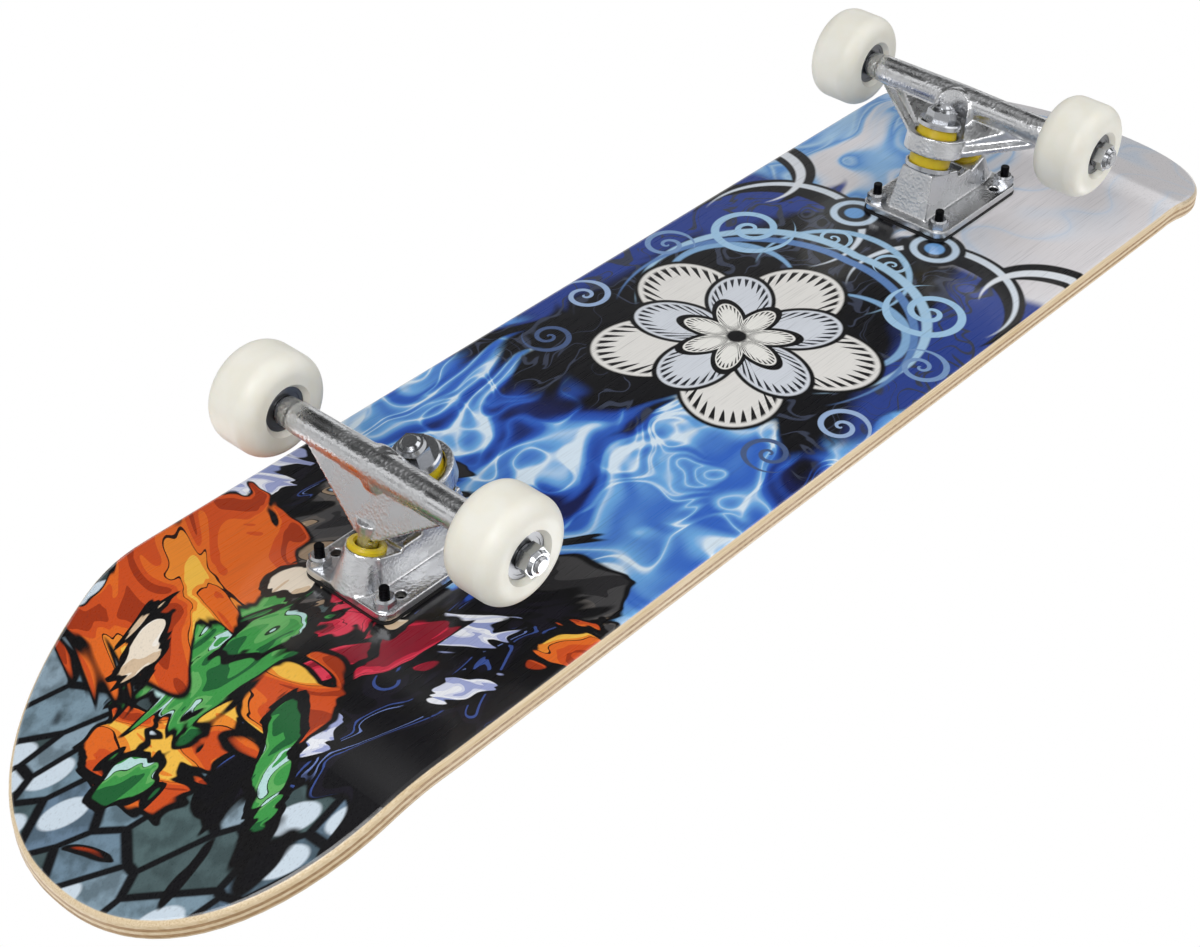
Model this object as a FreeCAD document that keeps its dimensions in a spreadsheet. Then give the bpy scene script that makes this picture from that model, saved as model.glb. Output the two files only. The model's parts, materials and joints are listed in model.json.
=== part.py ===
import FreeCAD, Part
import math
import os
from types import SimpleNamespace

import Sketcher
from FreeCAD import Placement, Rotation, Vector

# Skateboard, wheels down. +X points to the nose, +Y to the left, +Z up, z = 0 is the ground.
# Lengths are in millimetres and angles in degrees.
SIZES = {
    # deck
    "deck_width": 200.0,
    "end_to_end": 820.0,
    "ply_thickness": 1.55,
    "grip_thickness": 0.9,
    "concave_rise": 2.5,
    "nose_kick_start": 282.5,
    "nose_kick_angle": 24.0,
    "tail_kick_start": 284.0,
    "tail_kick_angle": 20.5,
    "kick_radius": 78.0,
    "nose_round": 138.0,
    "tail_round": 134.0,
    "outline_power": 2.2,
    "bottom_edge_radius": 3.5,
    "top_edge_radius": 2.5,
    # truck positions and fasteners
    "truck_spacing": 416.0,
    "bolt_spacing_x": 63.5,
    "bolt_spacing_y": 41.3,
    "short_spacing_x": 53.98,
    "bolt_dia": 4.83,
    "bolt_hole_dia": 5.3,
    "bolt_head_dia": 9.2,
    "bolt_end": 5.0,
    "thread_relief": 0.26,
    "bolt_nut_across": 9.5,
    "bolt_nut_height": 5.2,
    # riser and baseplate
    "riser_thickness": 1.6,
    "plate_end_margin": 6.25,
    "plate_side_margin": 6.35,
    "plate_thickness": 4.5,
    "plate_corner": 6.0,
    # kingpin stack, heights along the kingpin from the middle of the hanger's ring
    "ring_offset": -12.4,
    "ring_height": 42.4,
    "kingpin_lean": 15.6,
    "kingpin_dia": 9.53,
    "kingpin_nut_across": 14.3,
    "kingpin_nut_height": 7.0,
    "ring_seat_thickness": 4.4,
    "ring_wall": 3.9,
    "ring_rim_height": 5.6,
    "bushing_dia": 22.6,
    "lower_bushing_height": 10.8,
    "upper_bushing_height": 9.0,
    "cup_washer_thickness": 1.8,
    "cup_washer_lip": 1.1,
    # pivot
    "pivot_offset": 22.9,
    "pivot_height": 18.3,
    "pivot_lean": 17.0,
    "pivot_ball_dia": 10.6,
    "pivot_cup_wall": 2.85,
    "pivot_cup_floor": 1.7,
    # axle and hanger
    "axle_offset": 11.0,
    "axle_height": 58.85,
    "axle_dia": 7.94,
    "hanger_half": 60.5,
    "bar_dia": 16.6,
    "bar_end_dia": 14.2,
    "axle_nut_across": 12.7,
    "axle_nut_height": 7.4,
    "speed_washer_thickness": 1.0,
    # wheels and bearings
    "wheel_dia": 51.0,
    "wheel_width": 29.5,
    "wheel_lip": 8.6,
    "bearing_dia": 22.0,
    "bearing_width": 7.0,
    "bearing_gap": 10.0,
    "ball_dia": 3.97,
    # clearances
    "slip": 0.05,
    "running_gap": 0.3,
    "bearing_fit": 0.03,
    "ball_play": 0.165,
    "cup_play": 0.15,
    "bushing_room": 0.8,
    "steering_room": 4.5,
}
PLIES = 7
BALLS = 7
OUTLINE_STEPS = 24
# waste around the deck and its outer layers, which the cut outline takes away
TRIM = 6.0
PLAN_BLOCK_HEIGHT = 400.0
SEAM_TOLERANCE = 1e-4
# how far a cutting tool runs past what it cuts
CLEAR = 30.0
PLY_NAMES = ("face_ply", "long_ply_2", "cross_ply_3", "core_ply_4", "cross_ply_5", "long_ply_6", "top_ply")

doc = FreeCAD.newDocument("Skateboard")
sheet = doc.addObject("Spreadsheet::Sheet", "Sizes")
for row, (alias, number) in enumerate(SIZES.items(), start=1):
    sheet.set(f"A{row}", alias)
    sheet.set(f"B{row}", str(number))
    sheet.setAlias(f"B{row}", alias)
doc.recompute()


class Dim(float):
    """A number that keeps the spreadsheet formula it comes from."""

    def __new__(cls, value, formula):
        dim = float.__new__(cls, value)
        dim.formula = formula
        return dim

    def __add__(self, other):
        return Dim(float(self) + float(other), f"({self.formula} + {formula(other)})")

    def __radd__(self, other):
        return Dim(float(other) + float(self), f"({formula(other)} + {self.formula})")

    def __sub__(self, other):
        return Dim(float(self) - float(other), f"({self.formula} - {formula(other)})")

    def __rsub__(self, other):
        return Dim(float(other) - float(self), f"({formula(other)} - {self.formula})")

    def __mul__(self, other):
        return Dim(float(self) * float(other), f"({self.formula} * {formula(other)})")

    def __rmul__(self, other):
        return Dim(float(other) * float(self), f"({formula(other)} * {self.formula})")

    def __truediv__(self, other):
        return Dim(float(self) / float(other), f"({self.formula} / {formula(other)})")

    def __neg__(self):
        return Dim(-float(self), f"(0 - {self.formula})")


def formula(value):
    return value.formula if isinstance(value, Dim) else repr(float(value))


def ratio(function, angle):
    """Sine, cosine or tangent of an angle from the sheet."""
    return Dim(getattr(math, function)(math.radians(angle)), f"{function}({angle.formula} * 1 deg)")


s = SimpleNamespace(**{alias: Dim(float(sheet.get(alias)), f"Sizes.{alias}") for alias in SIZES})
deck_thickness = s.ply_thickness * PLIES
deck_bottom = s.axle_height + s.wheel_dia / 2
seat_half = s.ring_seat_thickness / 2
bearing_bore = s.axle_dia + s.bearing_fit * 2
concave_radius = (s.deck_width * s.deck_width / 4 + s.concave_rise * s.concave_rise) / (s.concave_rise * 2)


# ---------------------------------------------------------------- helpers

def bind(obj, **values):
    """Set sizes and tie those that come from the sheet to their cells."""
    for prop, value in values.items():
        setattr(obj, prop, float(value))
        if isinstance(value, Dim):
            obj.setExpression(prop, value.formula)
    return obj


def place(x=0.0, y=0.0, z=0.0, axis=Vector(0, 0, 1), angle=0.0):
    return Placement(Vector(x, y, z), Rotation(axis, float(angle)))


def cylinder(name, radius, length, at=Placement()):
    obj = bind(doc.addObject("Part::Cylinder", name), Radius=radius, Height=length)
    obj.Placement = at
    return obj


def cone(name, radius_1, radius_2, length, at=Placement()):
    obj = bind(doc.addObject("Part::Cone", name), Radius1=radius_1, Radius2=radius_2, Height=length)
    obj.Placement = at
    return obj


def sphere(name, radius, at=Placement()):
    obj = bind(doc.addObject("Part::Sphere", name), Radius=radius)
    obj.Placement = at
    return obj


def hexagon(name, across, height, at=Placement()):
    obj = doc.addObject("Part::Prism", name)
    obj.Polygon = 6
    bind(obj, Circumradius=across / math.sqrt(3), Height=height)
    obj.Placement = at
    return obj


def fuse(name, pieces):
    obj = doc.addObject("Part::MultiFuse", name)
    obj.Shapes = pieces
    return obj


def common(name, base, tool):
    obj = doc.addObject("Part::Common", name)
    obj.Base = base
    obj.Tool = tool
    return obj


def cut(name, base, tools):
    obj = doc.addObject("Part::Cut", name)
    obj.Base = base
    obj.Tool = tools[0] if len(tools) == 1 else fuse(name + "_cutters", tools)
    return obj


def group(name, pieces, at=Placement()):
    obj = doc.addObject("Part::Compound", name)
    obj.Links = pieces
    obj.Placement = at
    return obj


def sketch(body, role, name, offset=Placement()):
    """A sketch on one of the body's own origin planes."""
    plane = next(item for item in body.Origin.OriginFeatures if item.Role == role)
    obj = body.newObject("Sketcher::SketchObject", name)
    obj.AttachmentSupport = (plane, [""])
    obj.MapMode = "FlatFace"
    obj.AttachmentOffset = offset
    return obj


def pin(sk, geometry, corner, x, y):
    """Tie one sketch point to its coordinates."""
    for kind, value in (("DistanceX", x), ("DistanceY", y)):
        index = sk.addConstraint(Sketcher.Constraint(kind, -1, 1, geometry, corner, float(value)))
        if isinstance(value, Dim):
            sk.setExpression(f"Constraints[{index}]", value.formula)


def outline(sk, points):
    """A closed outline of straight lines."""
    corners = [Vector(float(x), float(y), 0) for x, y in points]
    first = sk.GeometryCount
    for start, end in zip(corners, corners[1:] + corners[:1]):
        sk.addGeometry(Part.LineSegment(start, end), False)
    last = first + len(points) - 1
    for number, (x, y) in enumerate(points, start=first):
        before = last if number == first else number - 1
        sk.addConstraint(Sketcher.Constraint("Coincident", before, 2, number, 1))
        pin(sk, number, 1, x, y)


def circle(sk, x, y, radius):
    number = sk.addGeometry(Part.Circle(Vector(float(x), float(y), 0), Vector(0, 0, 1), float(radius)), False)
    index = sk.addConstraint(Sketcher.Constraint("Radius", number, float(radius)))
    if isinstance(radius, Dim):
        sk.setExpression(f"Constraints[{index}]", radius.formula)
    pin(sk, number, 3, x, y)


def new_body(name):
    return doc.addObject("PartDesign::Body", name)


def turned(name, profile, at=Placement()):
    """A body turned about its own Z axis from an outline of (radius, height) corners."""
    body = new_body(name)
    sk = sketch(body, "XZ_Plane", name + "_profile")
    outline(sk, profile)
    turn = body.newObject("PartDesign::Revolution", name + "_turn")
    turn.Profile = sk
    turn.ReferenceAxis = (sk, ["V_Axis"])
    turn.Angle = 360.0
    body.Placement = at
    return body


def padded(body, sk, length, name, taper=0.0):
    pad = body.newObject("PartDesign::Pad", name)
    pad.Profile = sk
    bind(pad, Length=length)
    pad.TaperAngle = taper
    return pad


def rounded(body, name, radius, wanted):
    """Fillet the edges of the body's last feature that the test picks."""
    doc.recompute()
    tip = body.Tip
    names = [f"Edge{number}" for number, edge in enumerate(tip.Shape.Edges, start=1) if wanted(edge)]
    fillet = body.newObject("PartDesign::Fillet", name)
    fillet.Base = (tip, names)
    bind(fillet, Radius=radius)
    return fillet


def is_ring(edge, radius):
    return isinstance(edge.Curve, Part.Circle) and abs(edge.Curve.Radius - float(radius)) < 0.01


# ---------------------------------------------------------------- deck

def kick_path(body, name, side, start, angle, length):
    """Half of the deck's side line: flat, then the bend, then the straight kick."""
    sk = sketch(body, "XZ_Plane", name)
    lean = math.radians(angle)
    centre = Vector(side * start, deck_bottom + s.kick_radius, 0)
    turn_end = centre + Vector(side * math.sin(lean), -math.cos(lean), 0) * float(s.kick_radius)
    tip = turn_end + Vector(side * math.cos(lean), math.sin(lean), 0) * float(length)
    quarter = -math.pi / 2
    sweep = (quarter, quarter + lean) if side > 0 else (quarter - lean, quarter)
    ring = Part.Circle(centre, Vector(0, 0, 1), float(s.kick_radius))
    flat_line = Part.LineSegment(Vector(0, deck_bottom, 0), Vector(side * start, deck_bottom, 0))
    flat = sk.addGeometry(flat_line, False)
    bend = sk.addGeometry(Part.ArcOfCircle(ring, *sweep), False)
    kick = sk.addGeometry(Part.LineSegment(turn_end, tip), False)
    near, far = (1, 2) if side > 0 else (2, 1)
    pin(sk, flat, 1, 0.0, deck_bottom)
    pin(sk, flat, 2, side * start, deck_bottom)
    sk.addConstraint(Sketcher.Constraint("Tangent", flat, 2, bend, near))
    sk.addConstraint(Sketcher.Constraint("Tangent", bend, far, kick, 1))
    for kind, value, places in (
        ("Radius", s.kick_radius, (bend,)),
        ("Distance", length, (kick,)),
    ):
        index = sk.addConstraint(Sketcher.Constraint(kind, *places, float(value)))
        sk.setExpression(f"Constraints[{index}]", value.formula)
    bend_reach = turn_end.x - side * start
    reach = sk.addConstraint(Sketcher.Constraint("DistanceX", bend, near, bend, far, float(bend_reach)))
    sk.setExpression(f"Constraints[{reach}]", f"{side} * Sizes.kick_radius * sin({angle.formula} * 1 deg)")
    return sk


def swept_layer(name, low, high):
    """A layer of the deck between two heights over its bottom face, wider and longer than the deck."""
    body = new_body(name)
    half = s.deck_width / 2 + TRIM
    middle = deck_bottom + concave_radius
    section = sketch(body, "YZ_Plane", name + "_section")
    arcs = []
    for height in (low, high):
        radius = concave_radius - height
        spread = math.asin(half / radius)
        ring = Part.Circle(Vector(0, float(middle), 0), Vector(0, 0, 1), float(radius))
        down = -math.pi / 2
        arc = section.addGeometry(Part.ArcOfCircle(ring, down - spread, down + spread), False)
        arcs.append(arc)
        pin(section, arc, 3, 0.0, middle)
        index = section.addConstraint(Sketcher.Constraint("Radius", arc, float(radius)))
        section.setExpression(f"Constraints[{index}]", formula(radius))
        for corner, side in ((1, -1.0), (2, 1.0)):
            index = section.addConstraint(Sketcher.Constraint("DistanceX", -1, 1, arc, corner, side * half))
            section.setExpression(f"Constraints[{index}]", (half * side).formula)
    for corner in (1, 2):
        ends = [section.getPoint(arc, corner) for arc in arcs]
        rail = section.addGeometry(Part.LineSegment(*ends), False)
        section.addConstraint(Sketcher.Constraint("Coincident", arcs[0], corner, rail, 1))
        section.addConstraint(Sketcher.Constraint("Coincident", arcs[1], corner, rail, 2))
    for side, start, angle in (
        (1, s.nose_kick_start, s.nose_kick_angle),
        (-1, s.tail_kick_start, s.tail_kick_angle),
    ):
        end = "nose" if side > 0 else "tail"
        path = kick_path(body, f"{name}_path_{end}", side, start, angle, s.end_to_end / 2 - start + TRIM * 3)
        pipe = body.newObject("PartDesign::AdditivePipe", f"{name}_sweep_{end}")
        pipe.Profile = section
        pipe.Spine = (path, [])
    return body


def plan_prism(name, inset):
    """The deck's plan outline as an upright block: straight rails with rounded ends."""
    half = s.deck_width / 2 - inset
    tip = s.end_to_end / 2 - inset
    curves = []
    for side, length in ((1, s.nose_round), (-1, s.tail_round)):
        points = []
        for step in range(-OUTLINE_STEPS, OUTLINE_STEPS + 1):
            turn = math.pi / 2 * step / OUTLINE_STEPS
            across = math.copysign(abs(math.sin(turn)) ** (2 / s.outline_power), turn)
            along = abs(math.cos(turn)) ** (2 / s.outline_power)
            points.append(Vector(side * (tip - length + length * along), side * half * across, 0))
        curve = Part.BSplineCurve()
        curve.interpolate(points, InitialTangent=Vector(side, 0, 0), FinalTangent=Vector(-side, 0, 0))
        curves.append(curve)
    nose, tail = curves
    edges = [nose.toShape(), Part.LineSegment(nose.EndPoint, tail.StartPoint).toShape(),
             tail.toShape(), Part.LineSegment(tail.EndPoint, nose.StartPoint).toShape()]
    block = doc.addObject("Part::Feature", name)
    block.Shape = Part.Face(Part.Wire(edges)).extrude(Vector(0, 0, PLAN_BLOCK_HEIGHT))
    return block


def bolt_spots():
    """Plan positions of the eight truck bolts."""
    return [(truck * s.truck_spacing / 2 + along * s.bolt_spacing_x / 2, across * s.bolt_spacing_y / 2)
            for truck in (1, -1) for along in (1, -1) for across in (1, -1)]


def rim_edges(shape, low):
    """Edges where the deck's upright sides meet its bottom (low) or top face."""
    picked = []
    for number, edge in enumerate(shape.Edges, start=1):
        faces = shape.ancestorsOfType(edge, Part.Face)
        middle = edge.valueAt((edge.FirstParameter + edge.LastParameter) / 2)
        normals = [face.normalAt(*face.Surface.parameter(middle)) for face in faces]
        upright = [abs(normal.z) < 0.05 for normal in normals]
        if sorted(upright) == [False, True]:
            floor = normals[upright.index(False)]
            if (floor.z < 0) == low:
                picked.append(number)
    return picked


def deck_blank():
    """The pressed and cut deck in one block, before it is parted into plies."""
    slab = swept_layer("deck_slab", s.ply_thickness * 0, deck_thickness)
    raw = common("deck_raw", slab, plan_prism("deck_plan", 0.0))
    doc.recompute()
    edged = doc.addObject("Part::Fillet", "deck_edged")
    edged.Base = raw
    edged.Edges = [(number, float(radius), float(radius))
                   for low, radius in ((True, s.bottom_edge_radius), (False, s.top_edge_radius))
                   for number in rim_edges(raw.Shape, low)]
    return edged


def bolt_holes(name):
    """Through holes and head countersinks for all eight truck bolts."""
    top = deck_bottom + deck_thickness + s.grip_thickness
    sink = (s.bolt_head_dia - s.bolt_hole_dia) / 2 + s.running_gap * 2
    tools = []
    for number, (x, y) in enumerate(bolt_spots(), start=1):
        tools.append(cylinder(f"{name}_bore_{number}", s.bolt_hole_dia / 2, deck_thickness + CLEAR,
                              place(x, y, deck_bottom - CLEAR / 2)))
        tools.append(cone(f"{name}_sink_{number}", s.bolt_hole_dia / 2, s.bolt_hole_dia / 2 + sink, sink,
                          place(x, y, top - sink)))
    return fuse(name, tools)


def make_deck():
    blank = cut("deck_drilled", deck_blank(), [bolt_holes("deck_holes")])
    pieces = {}
    for number, name in enumerate(PLY_NAMES):
        low = s.ply_thickness * number - (TRIM / 2 if number == 0 else 0.0)
        high = s.ply_thickness * (number + 1) + (TRIM / 2 if number == PLIES - 1 else 0.0)
        layer = swept_layer(f"layer_{number + 1}", low, high)
        doc.recompute()
        pieces[name] = doc.addObject("Part::Feature", name)
        pieces[name].Shape = blank.Shape.common([layer.Shape], SEAM_TOLERANCE)
    tape = swept_layer("layer_grip", deck_thickness, deck_thickness + s.grip_thickness)
    sheet_blank = common("grip_sheet", tape, plan_prism("grip_plan", s.top_edge_radius))
    pieces["grip_tape"] = cut("grip_tape", sheet_blank, [bolt_holes("grip_holes")])
    return pieces


# ---------------------------------------------------------------- trucks
# Each truck is drawn in its own frame: x points to the board's end, z away from the deck's bottom face.

TRUCKS = {
    "front": place(s.truck_spacing / 2, 0, deck_bottom, Vector(1, 0, 0), 180),
    "rear": place(-s.truck_spacing / 2, 0, deck_bottom, Vector(0, 1, 0), 180),
}
plate_top = s.riser_thickness + s.plate_thickness
plate_length = s.bolt_spacing_x + s.plate_end_margin * 2
plate_width = s.bolt_spacing_y + s.plate_side_margin * 2
kingpin_radius = s.kingpin_dia / 2
nut_corner = s.kingpin_nut_across / math.sqrt(3)
bolt_nut_corner = s.bolt_nut_across / math.sqrt(3)
lower_seat = -(seat_half + s.lower_bushing_height + s.cup_washer_thickness)
nut_seat = seat_half + s.upper_bushing_height + s.cup_washer_thickness
# the upper bushing narrows towards its washer
bushing_radius = s.bushing_dia / 2
bushing_top_radius = bushing_radius - 1.4
bushing_cavity = bushing_radius + s.bushing_room
ring_radius = bushing_cavity + s.ring_wall
lower_washer_radius = bushing_radius + s.cup_washer_lip + 0.5
upper_washer_radius = bushing_top_radius + s.cup_washer_lip + 1.0
head_height = 5.0
# the leaning head keeps clear of the plate's underside
head_bottom = (s.riser_thickness + 0.8 + nut_corner * ratio("sin", s.kingpin_lean)
               - s.ring_height) / ratio("cos", s.kingpin_lean)
ball_radius = s.pivot_ball_dia / 2
cup_bore = ball_radius + s.cup_play
cup_radius = cup_bore + s.pivot_cup_wall
cup_bottom = -(ball_radius + 0.5 + s.pivot_cup_floor)
cup_lip = 3.0


def on_kingpin(height):
    lean = math.radians(s.kingpin_lean)
    return place(s.ring_offset + height * math.sin(lean), 0, s.ring_height + height * math.cos(lean),
                 Vector(0, 1, 0), s.kingpin_lean)


def on_pivot(height):
    lean = math.radians(s.pivot_lean)
    return place(s.pivot_offset - height * math.sin(lean), 0, s.pivot_height + height * math.cos(lean),
                 Vector(0, 1, 0), -s.pivot_lean)


def on_axle(side, reach):
    """A frame on the axle whose +Z points out to the given side."""
    return place(s.axle_offset, side * reach, s.axle_height, Vector(1, 0, 0), -90 * side)


def wedge(name, base, top, span, at):
    """A block that tapers from a base rectangle to a top one; each is (x_low, x_high, z_low, z_high)."""
    obj = doc.addObject("Part::Wedge", name)
    obj.Placement = at
    return bind(obj, Ymin=span[0], Ymax=span[1], Xmin=base[0], Xmax=base[1], Zmin=base[2], Zmax=base[3],
                X2min=top[0], X2max=top[1], Z2min=top[2], Z2max=top[3])


def box(name, size, corner, at=Placement()):
    """A box whose lowest corner is at the given point of the frame."""
    obj = bind(doc.addObject("Part::Box", name), Length=size[0], Width=size[1], Height=size[2])
    obj.Placement = at * place(*corner)
    return obj


def drilled_plate(name, thickness, holes):
    """A rounded rectangle with truck bolt holes."""
    body = new_body(name)
    sk = sketch(body, "XY_Plane", name + "_outline")
    long_half, wide_half = plate_length / 2, plate_width / 2
    outline(sk, [(-long_half, -wide_half), (long_half, -wide_half),
                 (long_half, wide_half), (-long_half, wide_half)])
    for x, y in holes:
        circle(sk, x, y, s.bolt_hole_dia / 2)
    padded(body, sk, thickness, name + "_pad")
    corners = lambda edge: isinstance(edge.Curve, Part.Line) and abs(edge.tangentAt(0).z) > 0.9
    rounded(body, name + "_corners", s.plate_corner, corners)
    return body


def plate_holes():
    half = s.bolt_spacing_x / 2
    spare = s.short_spacing_x - half
    return [(x, side * s.bolt_spacing_y / 2) for x in (-half, spare, half) for side in (1, -1)]


def riser_pad(prefix):
    return drilled_plate(prefix + "riser_pad", s.riser_thickness, plate_holes())


def kingpin_line(height):
    """Where the kingpin's axis stands at a height off the deck."""
    return s.ring_offset - (s.ring_height - height) * ratio("tan", s.kingpin_lean)


def baseplate(prefix):
    """Cast plate with the kingpin block, the pivot boss and the webs between them."""
    name = prefix + "baseplate"
    plate = drilled_plate(name + "_plate", s.plate_thickness, plate_holes())
    plate.Placement = place(0, 0, s.riser_thickness)
    upright = place(axis=Vector(1, 0, 0), angle=90)
    foot, brow = s.riser_thickness + 0.5, s.ring_height - 10
    foot_half = s.bolt_spacing_y / 2 - bolt_nut_corner - 2.0
    brow_half = min(foot_half, nut_corner + 1.4)
    wall = nut_corner + 2.6
    block = wedge(name + "_block",
                  (kingpin_line(foot) - wall, s.pivot_offset + 3.1, -foot_half, foot_half),
                  (kingpin_line(brow) - wall, s.pivot_offset + 1.1, -brow_half, brow_half),
                  (foot, brow), upright)
    boss_height = 20.0
    boss = cone(name + "_boss", cup_radius + 4.7, cup_radius + 1.3, boss_height,
                on_pivot(cup_lip - boss_height))
    raw = fuse(name + "_raw", [plate, block, boss])
    wide = plate_width + CLEAR
    saddle = s.ring_offset + 10.9
    saddle_length = s.pivot_offset - 10.4 - saddle
    pocket_wall = 3.0
    cutters = [
        box(name + "_under", (plate_length + CLEAR, wide, CLEAR),
            (-(plate_length + CLEAR) / 2, -wide / 2, s.riser_thickness - CLEAR)),
        box(name + "_kingpin_face", (CLEAR * 2, wide, CLEAR), (-CLEAR * 1.2, -wide / 2, 0),
            on_kingpin(lower_seat)),
        box(name + "_pivot_face", (CLEAR * 2, wide, CLEAR), (-cup_radius - 2.7, -wide / 2, 0),
            on_pivot(cup_lip)),
        box(name + "_saddle", (saddle_length, wide, CLEAR), (saddle, -wide / 2, s.pivot_height + 1.7)),
        box(name + "_pocket", (saddle_length - pocket_wall, (brow_half - pocket_wall) * 2, CLEAR),
            (saddle + 0.5, pocket_wall - brow_half, plate_top + 4.9)),
        cylinder(name + "_kingpin_bore", kingpin_radius + s.slip, s.ring_height * 1.5,
                 on_kingpin(lower_seat - s.ring_height * 1.4)),
        hexagon(name + "_head_pocket", s.kingpin_nut_across + s.slip * 4, CLEAR,
                on_kingpin(head_bottom + head_height + s.slip - CLEAR)),
        cylinder(name + "_cup_socket", cup_radius + s.slip, CLEAR, on_pivot(cup_bottom - s.slip * 2)),
    ]
    return cut(name, raw, cutters)


def hex_nut(name, across, height, bore_radius, at):
    """A lock nut: hexagon with a plain collar on its far end."""
    collar = height * 0.24
    flats = hexagon(name + "_flats", across, height - collar)
    rim = cone(name + "_collar", across * 0.48, across * 0.41, collar, place(z=height - collar))
    solid = fuse(name + "_solid", [flats, rim])
    nut = cut(name, solid, [cylinder(name + "_bore", bore_radius, height * 3, place(z=-height))])
    nut.Placement = at
    return nut


def kingpin(prefix):
    name = prefix + "kingpin"
    past_nut, tip = 1.6, 1.2
    length = nut_seat + s.kingpin_nut_height + past_nut - head_bottom
    head = hexagon(name + "_head", s.kingpin_nut_across, head_height)
    shank = cylinder(name + "_shank", kingpin_radius, length - tip)
    end = cone(name + "_end", kingpin_radius, kingpin_radius - tip, tip, place(z=length - tip))
    pin_body = fuse(name, [head, shank, end])
    pin_body.Placement = on_kingpin(head_bottom)
    return pin_body


def kingpin_nut(prefix):
    return hex_nut(prefix + "kingpin_nut", s.kingpin_nut_across, s.kingpin_nut_height,
                   kingpin_radius + s.slip, on_kingpin(nut_seat))


def bushing(name, height, radius, far_radius, at):
    bore = kingpin_radius + s.slip * 3
    ease = 1.2
    return turned(name, [(bore, 0.0), (radius - ease, 0.0), (radius, ease), (far_radius, height - ease),
                         (far_radius - ease, height), (bore, height)], at)


def cup_washer(name, radius, at):
    """A dished washer whose lip reaches over the bushing's end."""
    bore = kingpin_radius + s.slip * 2
    plate = s.cup_washer_thickness
    rim = plate + 1.3
    ease = 0.8
    profile = [(bore, 0.0), (radius - ease, 0.0), (radius, ease), (radius, rim), (radius - 0.9, rim),
               (radius - s.cup_washer_lip, plate), (bore, plate)]
    return turned(name, profile, at)


def pivot_cup(prefix):
    brim = cup_radius + 0.7
    top = cup_lip + 2.4
    floor = -(ball_radius + 0.5)
    waist = 2.4 - ball_radius
    profile = [(0.0, cup_bottom), (cup_radius, cup_bottom), (cup_radius, cup_lip), (brim, cup_lip),
               (brim, top - 1.0), (cup_radius - 0.1, top), (cup_bore + 1.0, top), (cup_bore, top - 1.2),
               (cup_bore, waist), (cup_bore / 2, floor + 0.3), (0.0, floor)]
    return turned(prefix + "pivot_cup", profile, on_pivot(0.0))


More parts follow.
